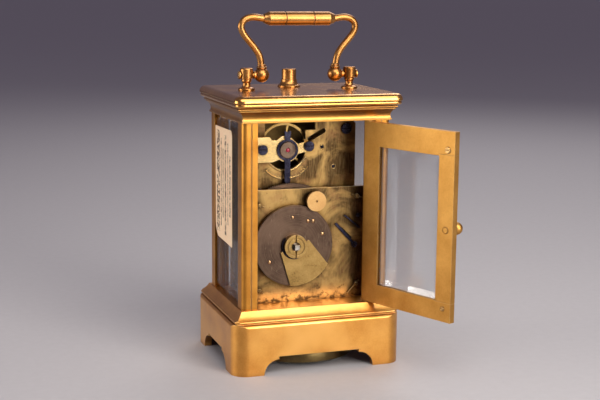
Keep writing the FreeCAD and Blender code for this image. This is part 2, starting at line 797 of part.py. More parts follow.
def door_frame():
    """Hinge stile with both rails in one piece, and a pivot pin at each end."""
    low, high = D["door_low"], D["door_high"]
    half = D["door_thick"] / 2
    plan = [
        (DOOR_X, DOOR_FRONT), (DOOR_X, DOOR_BACK), (half - DOOR_X, DOOR_BACK),
        (half - DOOR_X, DOOR_FRONT, half, 1),
    ]
    slab = prism("XY", plan, low, high)
    window = block((WINDOW_LEFT, DOOR_FRONT - 1, D["window_low"]),
                   (WINDOW_RIGHT, DOOR_BACK + 1, D["window_high"]))
    stile_space = block((WINDOW_RIGHT, DOOR_FRONT - 1, RAIL_LOW),
                        (DOOR_X + 1, DOOR_BACK + 1, RAIL_HIGH))
    pin_length = D["hinge_pin_length"]
    pins = [
        rod(D["hinge_pin_radius"], pin_length + 1, (HINGE_X, HINGE_Y, low - pin_length)),
        rod(D["hinge_pin_radius"], pin_length + 1, (HINGE_X, HINGE_Y, high - 1)),
        rod(1.9, 0.3, (HINGE_X, HINGE_Y, high)),
        rod(1.9, 0.3, (HINGE_X, HINGE_Y, low - 0.3)),
    ]
    screw_holes = [rod(0.63, 2.2, (x, DOOR_FRONT - 0.4, z), "Y") for x, z, _ in DOOR_SCREWS]
    frame = cut(slab, window, stile_space, door_groove(), *screw_holes)
    return join(frame, *pins, refine=False)


DOOR_SCREWS = [(46.85 - 25.2, 96.0, 1.35), (46.4 - 25.2, 32.3, 1.0)]


def door_latch_stile():
    """Free stile, let in between the rails so that the pane can slide in."""
    blank = block((WINDOW_RIGHT, DOOR_FRONT, RAIL_LOW + 0.05), (DOOR_X, DOOR_BACK, RAIL_HIGH - 0.05))
    knob_hole = rod(1.03, 6, (DOOR_X - 3.6, DOOR_FRONT - 1, D["knob_height"]), "Y")
    return cut(blank, door_groove(), knob_hole)


def door_glass():
    width = WINDOW_RIGHT - WINDOW_LEFT + D["glass_tuck"] * 2
    height = D["window_high"] - D["window_low"] + D["glass_tuck"] * 2
    middle = (WINDOW_RIGHT + WINDOW_LEFT) / 2
    front = (DOOR_BACK + DOOR_FRONT) / 2 - D["door_glass_thick"] / 2
    at = Vector(number(middle), number(front), number(D["window_low"] - D["glass_tuck"]))
    face = FreeCAD.Placement(at, FreeCAD.Rotation())
    return bevelled_glass(width, height, D["door_glass_thick"], D["door_bevel"], face)


def door_knob():
    """Turned ball knob whose shank is riveted over on the inner face."""
    at = (DOOR_X - 3.6, DOOR_BACK, D["knob_height"])
    inner = -D["door_thick"] - 0.45
    knob = turned([
        (0, -0.5), (1.0, -0.5), (1.0, 0), (1.9, 0), (1.9, 0.4), (1.1, 0.7), (1.1, 1.5),
        (1.6, 1.9), (2.6, 3.8, 2.6, 1), (0, 6.4, 2.6, 1),
    ], at, "Y")
    rivet = turned([
        (0, inner), (1.0, inner), (1.45, inner + 0.25), (1.45, inner + 0.42), (1.0, inner + 0.42),
        (1.0, -0.5), (0, -0.5),
    ], at, "Y")
    return join(knob, rivet)


def door_screws():
    return group(*[
        screw(radius, 0.45, 0.6, 2.1, (x, DOOR_FRONT - 0.45, z), "Y") for x, z, radius in DOOR_SCREWS
    ])


def build_door():
    for label, piece in (
        ("door_frame", door_frame()), ("door_latch_stile", door_latch_stile()),
        ("door_glass", door_glass()), ("door_knob", door_knob()), ("door_screws", door_screws()),
    ):
        node(label, swing(piece))

# --------------------------------------------------------------------------------------
# Wheels and springs, worked out in code
# --------------------------------------------------------------------------------------
ADDENDUM = 0.85
DEDENDUM = 1.2


def on_circle(centre, radius, degrees):
    """A point of the XZ plane, with the angle counted from +X towards +Z."""
    angle = math.radians(degrees)
    return (centre[0] + radius * math.cos(angle), centre[1] + radius * math.sin(angle))


def flat_solid(points, low, high):
    """Extrude a closed polygon of (x, z) points between two Y places."""
    corners = [Vector(x, low, z) for x, z in points]
    face = Part.Face(Part.makePolygon(corners + corners[:1]))
    return face.extrude(Vector(0, high - low, 0))


def tube(centre, radius, low, high):
    """A cylinder along Y between two places."""
    return Part.makeCylinder(radius, high - low, Vector(centre[0], low, centre[1]), Vector(0, 1, 0))


def toothed(centre, teeth, pitch_radius, phase, low, high):
    """A toothed blank with straight-flanked, well relieved teeth."""
    module = 2 * pitch_radius / teeth
    tip, root = pitch_radius + ADDENDUM * module, pitch_radius - DEDENDUM * module
    step = 360.0 / teeth
    points = []
    for i in range(teeth):
        middle = phase + i * step
        for radius, share in ((root, -0.30), (pitch_radius, -0.20), (tip, -0.09),
                              (tip, 0.09), (pitch_radius, 0.20), (root, 0.30)):
            points.append(on_circle(centre, radius, middle + share * step))
    return flat_solid(points, low, high)


def crossed_out(blank, centre, rim, hub, arms, low, high, width=0.9):
    """Cut the spaces between a wheel's arms."""
    space = tube(centre, rim, low - 1, high + 1).cut(tube(centre, hub, low - 2, high + 2))
    bars = []
    for i in range(arms):
        bar = Part.makeBox(rim + 1, high - low + 4, width, Vector(0, low - 2, -width / 2))
        bar.rotate(Vector(0, 0, 0), Vector(0, 1, 0), i * 360.0 / arms + 20)
        bar.translate(Vector(centre[0], 0, centre[1]))
        bars.append(bar)
    return blank.cut(space.cut(bars))


def meshing_phase(first, second, teeth_first, teeth_second, phase_first):
    """The second wheel's phase that puts its gap on the first wheel's tooth."""
    line = math.degrees(math.atan2(second[1] - first[1], second[0] - first[0]))
    carried = (line - phase_first) * teeth_first / teeth_second
    return line + 180 + carried - 180.0 / teeth_second


def spiral_strip(centre, inner, outer, turns, thick, low, high):
    """A flat spiral spring as one solid strip."""
    steps = int(turns * 12)

    def edge(offset):
        points = []
        for i in range(steps + 1):
            radius = inner + (outer - inner) * i / steps + offset
            x, z = on_circle(centre, radius, 360.0 * turns * i / steps)
            points.append(Vector(x, low, z))
        curve = Part.BSplineCurve()
        curve.interpolate(points)
        return curve.toShape()

    near, far = edge(-thick / 2), edge(thick / 2)
    ends = [
        Part.makeLine(a.Vertexes[index].Point, b.Vertexes[index].Point)
        for a, b, index in ((near, far, 0), (near, far, -1))
    ]
    face = Part.Face(Part.Wire(Part.__sortEdges__([near, far, *ends])))
    return face.extrude(Vector(0, high - low, 0))


def fused(first, *others):
    return first.fuse(list(others)).removeSplitter()


# --------------------------------------------------------------------------------------
# Movement layout: arbor places are (x, z), layers are Y places
# --------------------------------------------------------------------------------------
CENTRE = (0.0, number(D["dial_height"]))
BARREL = (number(D["barrel_side"]), number(D["barrel_height"]))
BALANCE = (number(D["balance_side"]), number(D["balance_height"]))
THIRD = (-9.85, 73.37)
FOURTH = (-13.37, 82.48)
ESCAPE = (-8.04, 91.06)
PALLET = (-3.9, 90.9)
SETTING = (-2.0, 69.7)
MINUTE_ANGLE = -60.0
MINUTE_REACH = 7.2
MINUTE = on_circle(CENTRE, MINUTE_REACH, MINUTE_ANGLE)
HAMMER = (HAMMER_X, HAMMER_Z)

FRONT_OUT = number(D["front_plate_front"])
FRONT_IN = FRONT_OUT + number(D["plate_thick"])
BACK_OUT = number(D["back_plate_back"])
BACK_IN = BACK_OUT - number(D["plate_thick"])
REPEAT_OUT = number(D["repeat_plate_back"])
REPEAT_IN = REPEAT_OUT - number(D["plate_thick"])
PIN = number(D["pivot_pin"])
PLAY = number(D["running_play"])
CENTRE_RADIUS = 0.9
MINUTE_STUD = 0.75
WINDING = number(D["winding_radius"])
HUB_BORE = WINDING + PLAY
HUB_RADIUS = 2.6

GREAT_TEETH, CENTRE_LEAVES = 80, 12
CENTRE_TEETH, THIRD_LEAVES = 72, 10
THIRD_TEETH, FOURTH_LEAVES = 60, 10
FOURTH_TEETH, ESCAPE_LEAVES = 70, 10
CANNON_TEETH, MINUTE_TEETH = 12, 36
MINUTE_LEAVES, HOUR_TEETH = 10, 40
SETTING_TEETH = 14

PLATE_PILLARS = [(18.0, 36.8), (-19.5, 36.8), (20.0, 72.2), (-18.8, 98.6)]
REPEAT_PILLARS = [(22.0, 68.6), (22.0, 32.4), (-21.4, 70.6), (-21.4, 32.4)]
# the lean of each taper pin in degrees, and how far its two ends lie from the pillar
TAPER_PINS = [(18.0, -2.5, 2.5), (38.0, -2.5, 2.5), (18.0, -2.5, 2.5), (134.0, -5.6, 2.0)]


def pitch_radii(first, second, teeth_first, teeth_second):
    """Share a centre distance between two meshing wheels."""
    distance = math.dist(first, second)
    whole = teeth_first + teeth_second
    return distance * teeth_first / whole, distance * teeth_second / whole


def mesh(first, second, teeth, layer_first, layer_second):
    """Two toothed blanks in mesh, each in its own (low, high) layer."""
    radii = pitch_radii(first, second, *teeth)
    phase = meshing_phase(first, second, *teeth, 0.0)
    return (toothed(first, teeth[0], radii[0], 0.0, *layer_first),
            toothed(second, teeth[1], radii[1], phase, *layer_second))


def arbor(centre, radius, low, high):
    """A steel arbor that ends in thinner pivots inside both plates."""
    body = tube(centre, radius, low, high)
    pivots = tube(centre, PIN, FRONT_OUT + 0.4, BACK_OUT - 0.4)
    return body.fuse(pivots)


# --------------------------------------------------------------------------------------
# Plates and fixed parts of the movement
# --------------------------------------------------------------------------------------
def pivot_holes(places, low, high, radius=PIN + PLAY):
    return [rod(radius, high - low, (x, low, z), "Y") for x, z in places]


def oil_sinks(places, face):
    """Shallow round sinks about the pivot holes on a plate's outer face."""
    return [turned([(0, -0.35), (1.0, 0.05), (0, 0.05)], (x, face, z), "Y") for x, z in places]


def foot_bores(middle):
    return [
        rod(FOOT_SHANK + SCREW_PLAY, 5, (x, middle, D["plate_foot"] - 1))
        for x in (17.0, -17.0)
    ]


def plate_blank(top, low, high, width=D["plate_width"], chamfer=1.2):
    half = width / 2
    outline = [
        (-half, D["plate_foot"]), (half, D["plate_foot"]), (half, top - chamfer),
        (half - chamfer, top), (chamfer - half, top), (-half, top - chamfer),
    ]
    return prism("XZ", outline, low, high)


def front_plate():
    low, high = D["front_plate_front"], D["front_plate_front"] + D["plate_thick"]
    small = [THIRD, FOURTH, ESCAPE, PALLET, BALANCE, HAMMER]
    holes = pivot_holes(small, low - 1, high + 1)
    holes += pivot_holes([CENTRE], low - 1, high + 1, CENTRE_RADIUS + PLAY)
    holes += pivot_holes([BARREL], low - 1, high + 1, HUB_BORE)
    holes += pivot_holes(PLATE_PILLARS, low - 1, high + 1, 1.03)
    plate = cut(plate_blank(D["front_plate_top"], low, high), *holes, *foot_bores((low + high) / 2))
    # the minute wheel turns on a stud riveted into this plate
    stud = rod(MINUTE_STUD, 3.7, (MINUTE[0], low - 3.2, MINUTE[1]), "Y")
    return join(plate, stud, refine=False)


def back_plate():
    """Back plate with the balance opening, a slanted slot and oil sinks."""
    high = D["back_plate_back"]
    low = high - D["plate_thick"]
    opening = rod(8.6, 4, (BALANCE[0], low - 1, BALANCE[1]), "Y")
    upward = block((-0.6, low - 1, 94.5), (17.3, high + 1, 103))
    corner = block((-5.0, low - 1, 98.4), (0, high + 1, 103))
    slot = slanted_bar((-2.6, 94.6), (-8.6, 97.9), 2.0, low - 1, high + 1)
    small = [THIRD, FOURTH, ESCAPE, PALLET, HAMMER]
    holes = pivot_holes(small, low - 1, high + 1)
    holes += oil_sinks([FOURTH, ESCAPE], high)
    holes += pivot_holes([CENTRE], low - 1, high + 1, CENTRE_RADIUS + PLAY)
    holes += pivot_holes([SETTING], low - 1, high + 1, 0.8 + PLAY)
    holes += pivot_holes([BARREL], low - 1, high + 1, HUB_BORE)
    holes += pivot_holes(PLATE_PILLARS, low - 1, high + 1, 1.03)
    holes += pivot_holes(REPEAT_PILLARS, low - 1, high + 1, 0.83)
    holes += pivot_holes(COCK_SCREWS, low - 1, high + 1, 0.83)
    holes += pivot_holes([CLICK], low - 1, high + 1, 0.7 + PLAY)
    return cut(plate_blank(D["back_plate_top"], low, high), opening, upward, corner, slot, *holes,
               *foot_bores((low + high) / 2))


def repeat_plate():
    """Shorter rear plate that covers the repeat work."""
    high = D["repeat_plate_back"]
    low = high - D["plate_thick"]
    holes = pivot_holes([BARREL], low - 1, high + 1, HUB_RADIUS + PLAY)
    holes += pivot_holes([SETTING], low - 1, high + 1, 1.2 + PLAY)
    holes += pivot_holes(REPEAT_PILLARS, low - 1, high + 1, 1.03)
    holes += pivot_holes([LEVER_STUD], low - 1, high + 1, 0.63)
    slot = slanted_bar((-14.6, 56.4), (-18.6, 52.4), 1.6, low - 1, high + 1)
    blank = plate_blank(D["repeat_plate_top"], low, high, D["repeat_plate_width"], 0.2)
    return cut(blank, slot, *holes)


def plate_pillars():
    """Four turned pillars that space the front and back plates."""
    radius = D["plate_pillar_radius"]
    length = BACK_IN - FRONT_IN
    outline = [
        (0, -1.8), (1.0, -1.8), (1.0, 0), (radius, 0), (radius, 1.6), (radius - 0.6, 2.2),
        (radius - 0.6, length - 2.2), (radius, length - 1.6), (radius, length),
        (1.0, length), (1.0, length + 0.4), (0, length + 0.4),
    ]
    return group(*[turned(outline, (x, FRONT_IN, z), "Y") for x, z in PLATE_PILLARS])


def plate_screws():
    """Blued screws that hold the back plate on its pillars."""
    return group(*[
        screw(2.3, 1.1, 1.0, 2.6, (x, BACK_OUT + 1.1, z), "-Y") for x, z in PLATE_PILLARS
    ])


def repeat_plate_pins():
    """Spacer pillars of the repeat plate, each with a taper pin through its tip."""
    pieces = []
    for (x, z), (degrees, thin_end, thick_end) in zip(REPEAT_PILLARS, TAPER_PINS):
        outline = [
            (0, -1.5), (0.8, -1.5), (0.8, 0), (1.5, 0), (1.5, REPEAT_IN - BACK_OUT),
            (1.0, REPEAT_IN - BACK_OUT), (1.0, REPEAT_OUT - BACK_OUT + 1.3),
            (0.7, REPEAT_OUT - BACK_OUT + 1.6), (0, REPEAT_OUT - BACK_OUT + 1.6),
        ]
        spacer = turned(outline, (x, BACK_OUT, z), "Y")
        lean = math.radians(degrees)
        taper = doc.addObject("Part::Cone", fresh("taper"))
        taper.Radius1, taper.Radius2, taper.Height = 0.25, 0.38, thick_end - thin_end
        along = Vector(math.cos(lean), 0, math.sin(lean))
        taper.Placement = FreeCAD.Placement(
            Vector(x, REPEAT_OUT + 0.75, z) + along * thin_end,
            FreeCAD.Rotation(Vector(0, 0, 1), along))
        pieces.append(join(spacer, taper))
    return group(*pieces)


COCK_SCREWS = [(18.9, 90.9), (-1.6, 91.8)]
COCK_FRONT = BACK_OUT
COCK_BACK = BACK_OUT + 1.6
CLICK = on_circle(BARREL, 11.0, -35.0)
LEVER_STUD = (-20.6, 49.6)


def balance_cock():
    """Bridge across the balance opening, broad at its foot and narrow at the far screw."""
    x, z = BALANCE
    far_x, far_z = COCK_SCREWS[1]
    outline = [
        (22.9, 85.4), (22.9, 96.0), (15.6, 96.0), (14.6, 94.6), (12.6, 94.6), (x + 2.6, z + 5.6),
        (x - 2.2, z + 4.6, 5.2, 1), (x - 4.6, z + 2.4), (far_x, far_z + 2.1),
        (far_x, far_z - 2.1, 2.11, 1), (x - 4.7, z - 1.9), (x - 2.0, z - 4.8, 5.2, 1),
        (x + 3.4, z - 4.0, 5.4, 1), (x + 6.6, 85.4),
    ]
    arm = prism("XZ", outline, COCK_FRONT, COCK_BACK)
    boss = rod(1.6, 1.2, (x, COCK_FRONT - 1.2, z), "Y")
    holes = pivot_holes(COCK_SCREWS, COCK_FRONT - 1, COCK_BACK + 1, 0.83)
    holes += pivot_holes([BALANCE], COCK_FRONT - 2, COCK_BACK - 0.3)
    return cut(join(arm, boss, refine=False), *holes)


def cock_screws():
    return group(*[
        screw(2.2, 1.1, 0.8, 4.0, (x, COCK_BACK + 1.1, z), "-Y") for x, z in COCK_SCREWS
    ])


CAP_RADIUS = 3.6


def cock_cap():
    """Round steel cap over the balance pivot, sunk for its jewel."""
    outline = [
        (0, 0), (CAP_RADIUS, 0), (CAP_RADIUS, 0.85), (CAP_RADIUS - 0.3, 1.1),
        (1.0, 1.1), (0.8, 0.8), (0, 0.8),
    ]
    return turned(outline, (BALANCE[0], COCK_BACK, BALANCE[1]), "Y")


def regulator_index():
    """Blued index: a ring about the cap with a long pointer and a short tail."""
    low, high = COCK_BACK + PLAY, COCK_BACK + 0.75
    inner, outer = CAP_RADIUS + PLAY, CAP_RADIUS + 1.0
    x, z = BALANCE
    ring = [(inner, low - COCK_BACK), (outer, low - COCK_BACK), (outer, high - COCK_BACK),
            (inner, high - COCK_BACK)]
    collar = turned(ring, (x, COCK_BACK, z), "Y")
    tip = 14.5
    half = 1.25
    pointer = prism("XZ", [
        (x - half, z - inner - 0.4), (x - half, z - tip + 1.4), (x - 0.7, z - tip),
        (x + 0.7, z - tip), (x + half, z - tip + 1.4), (x + half, z - inner - 0.4),
    ], low, high)
    tail = prism("XZ", [
        (x - 1.0, z + inner + 0.3), (x + 1.0, z + inner + 0.3), (x + 1.5, z + 7.6),
        (x + 0.8, z + 8.2), (x, z + 7.4), (x - 0.8, z + 8.2), (x - 1.5, z + 7.6),
    ], low, high)
    return join(collar, pointer, tail)


def repeat_springs():
    """Steel spring and lever pieces on the repeat plate."""
    face = REPEAT_OUT
    lever = join(
        slanted_bar((-12.2, 58.8), LEVER_STUD, 1.1, face + 0.05, face + 0.75),
        rod(1.3, 0.9, (LEVER_STUD[0], face + 0.05, LEVER_STUD[1]), "Y"),
        rod(0.6, 1.9, (LEVER_STUD[0], face - 1.8, LEVER_STUD[1]), "Y"),
    )
    blade = slanted_bar((-16.0, 62.4), (-22.6, 56.9), 0.6, face + 0.05, face + 0.9)
    stop = rod(0.9, 1.2, (-22.0, face, 62.2), "Y")
    return group(lever, blade, stop)


def build_plates():
    node("front_plate", front_plate())
    node("back_plate", back_plate())
    node("repeat_plate", repeat_plate())
    node("plate_pillars", plate_pillars())
    node("plate_screws", plate_screws())
    node("repeat_plate_pins", repeat_plate_pins())
    node("balance_cock", balance_cock())
    node("cock_screws", cock_screws())
    node("cock_cap", cock_cap())
    node("regulator_index", regulator_index())
    node("repeat_springs", repeat_springs())


# --------------------------------------------------------------------------------------
# Dial and motion work
# --------------------------------------------------------------------------------------
MASK_FRONT = -17.4
MASK_BACK = -16.4
DIAL_BACK = -15.4
HOUR_PIPE = 1.55


def dial_mask():
    """Plain gilt sheet that fills the front opening round the dial."""
    half = OPENING_X - 0.3
    low, high = D["floor_top"] + 0.1, D["cornice_low"] - 0.2
    outline = [(-half, low), (half, low), (half, high), (-half, high)]
    hole = (0, D["dial_height"], D["dial_opening"])
    return prism("XZ", outline, MASK_FRONT, MASK_BACK, [hole])


def dial():
    """Slightly domed white dial plate with a centre hole and two feet."""
    radius = D["dial_radius"]
    thick = DIAL_BACK - MASK_BACK
    hole = HOUR_PIPE + 0.35
    body = turned([(hole, 0), (hole, thick), (radius, thick), (radius, 0)],
                  (0, MASK_BACK, D["dial_height"]), "Y")
    feet = [
        rod(0.8, FRONT_OUT - DIAL_BACK, (x, DIAL_BACK, CENTRE[1] - 12), "Y") for x in (16.0, -16.0)
    ]
    return join(body, *feet, refine=False)


def build_motion_work():
    """Centre arbor with its cannon pinion, minute wheel, hour wheel and both hands."""
    cannon, minute_wheel = mesh(CENTRE, MINUTE, (CANNON_TEETH, MINUTE_TEETH),
                                (-13.6, -12.2), (-13.4, -12.4))
    minute_pinion, hour_wheel = mesh(MINUTE, CENTRE, (MINUTE_LEAVES, HOUR_TEETH),
                                     (-15.0, -13.3), (-14.9, -14.1))
    rear_pinion, setting_pinion = mesh(CENTRE, SETTING, (SETTING_TEETH, SETTING_TEETH),
                                       (8.6, 10.0), (8.7, 10.1))
    shaft = tube(CENTRE, CENTRE_RADIUS, -20.3, 10.6)
    node("centre_arbor", shaped(fused(shaft, cannon, rear_pinion)))

    wheel = minute_wheel.fuse(minute_pinion).cut(tube(MINUTE, MINUTE_STUD + PLAY, -16, -12))
    node("minute_wheel", shaped(wheel.removeSplitter()))

    pipe = tube(CENTRE, HOUR_PIPE, -18.3, -14.1)
    hour = hour_wheel.fuse(pipe).cut(tube(CENTRE, CENTRE_RADIUS + PLAY, -19, -13))
    node("hour_wheel", shaped(hour.removeSplitter()))
    node("hour_hand", shaped(clock_hand(305.0, 11.5, HOUR_PIPE, -18.25, -17.75, 2.6)))
    node("minute_hand", shaped(clock_hand(60.0, 17.0, CENTRE_RADIUS, -19.6, -19.1, 1.8)))

    spindle = tube(SETTING, 0.8, BACK_IN + 0.4, 8.7)
    neck = tube(SETTING, 1.2, 10.1, 17.8)
    disc = tube(SETTING, 4.2, 17.8, 19.2).cut(tube(SETTING, 0.5, 18.6, 19.3))
    node("setting_knob", shaped(fused(spindle, setting_pinion, neck, disc)))


def clock_hand(clock_degrees, length, pipe, low, high, width):
    """A spade hand; its angle is counted clockwise from twelve as the dial is read."""
    eye = pipe + 0.9
    neck = 0.38
    blade = length * 0.62
    outline = [
        (-neck, -eye * 0.5), (-neck, blade - width), (-width / 2, blade),
        (-neck * 0.7, blade + width * 0.8), (0, length), (neck * 0.7, blade + width * 0.8),
        (width / 2, blade), (neck, blade - width), (neck, -eye * 0.5),
    ]
    arm = flat_solid(outline, low, high)
    ring = tube((0, 0), eye, low, high)
    hand = arm.fuse(ring).cut(tube((0, 0), pipe, low - 1, high + 1))
    hand.rotate(Vector(0, 0, 0), Vector(0, 1, 0), clock_degrees)
    hand.translate(Vector(CENTRE[0], 0, CENTRE[1]))
    return hand


# --------------------------------------------------------------------------------------
# Going train and escapement
# --------------------------------------------------------------------------------------
def build_train():
    great, centre_pinion = mesh(BARREL, CENTRE, (GREAT_TEETH, CENTRE_LEAVES), (0.6, 1.9), (0.3, 2.4))
    centre_wheel, third_pinion = mesh(CENTRE, THIRD, (CENTRE_TEETH, THIRD_LEAVES),
                                      (3.0, 4.1), (2.6, 4.5))
    third_wheel, fourth_pinion = mesh(THIRD, FOURTH, (THIRD_TEETH, FOURTH_LEAVES),
                                      (-5.5, -4.6), (-5.9, -4.2))
    fourth_wheel, escape_pinion = mesh(FOURTH, ESCAPE, (FOURTH_TEETH, ESCAPE_LEAVES),
                                       (-2.5, -1.7), (-2.9, -1.3))
    build_barrel(great)

    clear = tube(CENTRE, CENTRE_RADIUS + PLAY, -10, 6)
    crossed = crossed_out(centre_wheel, CENTRE, 8.8, 2.6, 4, 3.0, 4.1, 1.2)
    centre = crossed.fuse([tube(CENTRE, 1.7, 0.3, 4.1), centre_pinion]).cut(clear)
    node("centre_wheel", shaped(centre.removeSplitter()))

    crossed = crossed_out(third_wheel, THIRD, 6.9, 1.6, 4, -5.5, -4.6)
    node("third_wheel", shaped(fused(crossed, third_pinion, arbor(THIRD, 0.5, -9.6, 5.6))))
    crossed = crossed_out(fourth_wheel, FOURTH, 7.4, 1.6, 4, -2.5, -1.7)
    node("fourth_wheel", shaped(fused(crossed, fourth_pinion, arbor(FOURTH, 0.6, -9.6, 5.6))))

    escape = escape_teeth(0.5, 1.2)
    node("escape_wheel", shaped(fused(escape, escape_pinion, arbor(ESCAPE, 0.55, -9.6, 5.6))))
    node("pallet_lever", shaped(pallet_lever()))
    node("balance_wheel", shaped(balance_wheel()))
    node("hairspring", shaped(spiral_strip(BALANCE, 1.0, 4.6, 5.5, 0.16, 5.5, 6.0)))


def build_barrel(great):
    """Mainspring barrel: drum with its great wheel, spring, and winding arbor."""
    drum_radius = number(D["drum_radius"])
    wall, drum_low = 0.8, -8.6
    drum = tube(BARREL, drum_radius, drum_low, 0.6)
    hollow = tube(BARREL, drum_radius - wall, drum_low + wall, -0.2)
    bore = tube(BARREL, HUB_BORE, drum_low - 1, 3)
    barrel = drum.cut(hollow).fuse(great).cut(bore)
    node("barrel", shaped(barrel))
    node("mainspring", shaped(spiral_strip(BARREL, 3.3, drum_radius - wall - 0.4, 6.0, 0.4,
                                           drum_low + wall + 0.3, -0.6)))

    core = tube(BARREL, WINDING, FRONT_OUT + 0.2, 19.0)
    hub = tube(BARREL, 2.6, drum_low + wall + 0.3, -0.5)
    side = 2.1
    square = Part.makeBox(side, 3.0, side,
                          Vector(BARREL[0] - side / 2, 18.9, BARREL[1] - side / 2))
    ratchet = flat_solid(sawtooth(BARREL, 24, 5.6, 6.6), 8.5, 9.4)
    node("winding_arbor", shaped(fused(core, hub, square, ratchet)))

    tip = on_circle(BARREL, 6.9, -62.0)
    tail = on_circle(CLICK, 2.4, -10.0)
    arm = flat_solid([
        on_circle(CLICK, 1.3, 60), on_circle(BARREL, 7.6, -60), tip,
        on_circle(BARREL, 7.5, -66), on_circle(CLICK, 1.3, 240), tail,
    ], 8.5, 9.4)
    boss = tube(CLICK, 1.4, 8.2, 9.4)
    stud = tube(CLICK, 0.7, BACK_IN + 0.3, 9.4)
    node("click", shaped(fused(arm, boss, stud)))


def sawtooth(centre, teeth, root, tip):
    points = []
    for i in range(teeth):
        start = 360.0 * i / teeth
        points += [on_circle(centre, root, start), on_circle(centre, tip, start + 0.8 * 360 / teeth)]
    return points


def escape_teeth(low, high):
    """Fifteen pointed teeth on a light rim."""
    points = []
    for i in range(15):
        start = i * 24.0
        points += [on_circle(ESCAPE, 2.2, start), on_circle(ESCAPE, 2.2, start + 10),
                   on_circle(ESCAPE, 3.2, start + 21)]
    return flat_solid(points, low, high)


def pallet_lever():
    """Lever with two pallets beside the escape wheel and a fork short of the roller pin."""
    low, high = 0.5, 1.2
    pieces = [tube(PALLET, 0.9, 0.2, 1.5), arbor(PALLET, 0.4, -9.6, 5.6)]
    for side in (1, -1):
        outline = [
            (PALLET[0] + 0.5, PALLET[1]), (PALLET[0] - 0.2, PALLET[1] + side * 3.0),
            (ESCAPE[0] + 2.6, ESCAPE[1] + side * 3.6), (ESCAPE[0] + 2.3, ESCAPE[1] + side * 2.95),
            (ESCAPE[0] + 2.7, ESCAPE[1] + side * 2.7), (PALLET[0] - 0.5, PALLET[1]),
        ]
        pieces.append(flat_solid(outline, low, high))
    end = BALANCE[0] - 2.5
    shaft = flat_solid([
        (PALLET[0], PALLET[1] - 0.4), (end - 1.6, BALANCE[1] - 0.35), (end - 1.6, BALANCE[1] - 0.9),
        (end, BALANCE[1] - 0.75), (end, BALANCE[1] - 0.35), (end - 1.0, BALANCE[1] - 0.3),
        (end - 1.0, BALANCE[1] + 0.3), (end, BALANCE[1] + 0.35), (end, BALANCE[1] + 0.75),
        (end - 1.6, BALANCE[1] + 0.9), (end - 1.6, BALANCE[1] + 0.35), (PALLET[0], PALLET[1] + 0.4),
    ], low, high)
    return fused(*pieces, shaft)


def balance_wheel():
    """Plain balance with two arms, its staff, collet, roller and roller pin."""
    radius = number(D["balance_radius"])
    low, high = 3.7, 4.7
    rim = tube(BALANCE, radius, low, high)
    rim = crossed_out(rim, BALANCE, radius - 1.0, 1.4, 3, low, high, 0.8)
    staff = tube(BALANCE, PIN, FRONT_OUT + 0.4, COCK_BACK - 0.4)
    thick_staff = tube(BALANCE, 0.8, 0.0, 6.2)
    roller = tube(BALANCE, 2.4, 1.6, 2.1)
    roller_pin = tube((BALANCE[0] - 1.9, BALANCE[1]), 0.25, 0.5, 1.7)
    return fused(rim, staff, thick_staff, roller, roller_pin)


# --------------------------------------------------------------------------------------
# Repeat work on the rear plate, and the strike on the bell
# --------------------------------------------------------------------------------------
DISC_LOW = REPEAT_OUT + 0.6
DISC_HIGH = DISC_LOW + 1.6
COLLAR_HIGH = 20.0
# rivets flush with the disc, each as (angle in degrees, distance from the disc's centre)
DISC_RIVETS = [(86.7, 12.0), (120.9, 11.9), (129.7, 13.1), (160.8, 13.3), (-31.3, 12.5)]


def repeat_disc():
    """Steel disc on a hub, with the lifting rack in front of the plate and a push arm."""
    radius = number(D["disc_radius"])
    rack_low, rack_high = 10.55, 11.3
    disc = tube(BARREL, radius, DISC_LOW, DISC_HIGH)
    for angle, reach in DISC_RIVETS:
        rivet = on_circle(BARREL, reach, angle)
        ring = tube(rivet, 0.85, DISC_HIGH - 0.15, DISC_HIGH + 1)
        disc = disc.cut(ring.cut(tube(rivet, 0.6, DISC_HIGH - 1, DISC_HIGH + 2)))
    hub = tube(BARREL, HUB_RADIUS, rack_low, 18.4)
    rim_in, rim_out = 23.8, 25.6
    start, end, teeth = 68.0, 120.0, 26
    outline = [on_circle(BARREL, rim_in, start + i * (end - start) / 13) for i in range(13, -1, -1)]
    step = (end - start) / teeth
    for i in range(teeth):
        outline.append(on_circle(BARREL, rim_out - 0.7, start + i * step))
        outline.append(on_circle(BARREL, rim_out, start + (i + 0.3) * step))
        outline.append(on_circle(BARREL, rim_out, start + (i + 0.7) * step))
    outline.append(on_circle(BARREL, rim_out - 0.7, end))
    rack = flat_solid(outline, rack_low, rack_high)
    arm = flat_solid([
        on_circle(BARREL, 2.4, 60), on_circle(BARREL, rim_in + 0.5, 86),
        on_circle(BARREL, rim_in + 0.5, 93), on_circle(BARREL, 2.4, 120),
    ], rack_low, rack_high)
    push_at = PUSH_ARM_END
    push_arm = flat_solid([
        on_circle(BARREL, 2.4, -60), on_circle(push_at, 1.2, -80), on_circle(push_at, 1.2, 0),
        on_circle(push_at, 1.2, 100), on_circle(BARREL, 2.4, 70),
    ], rack_low, rack_high)
    push_pin = tube(push_at, 0.8, rack_low, 12.6)
    body = disc.fuse([hub, rack, arm, push_arm, push_pin])
    return body.cut(tube(BARREL, HUB_BORE, 9, 22)).removeSplitter()


PUSH_ARM_END = (PUSH_X - 0.2, PUSH_LOW - 1.0)


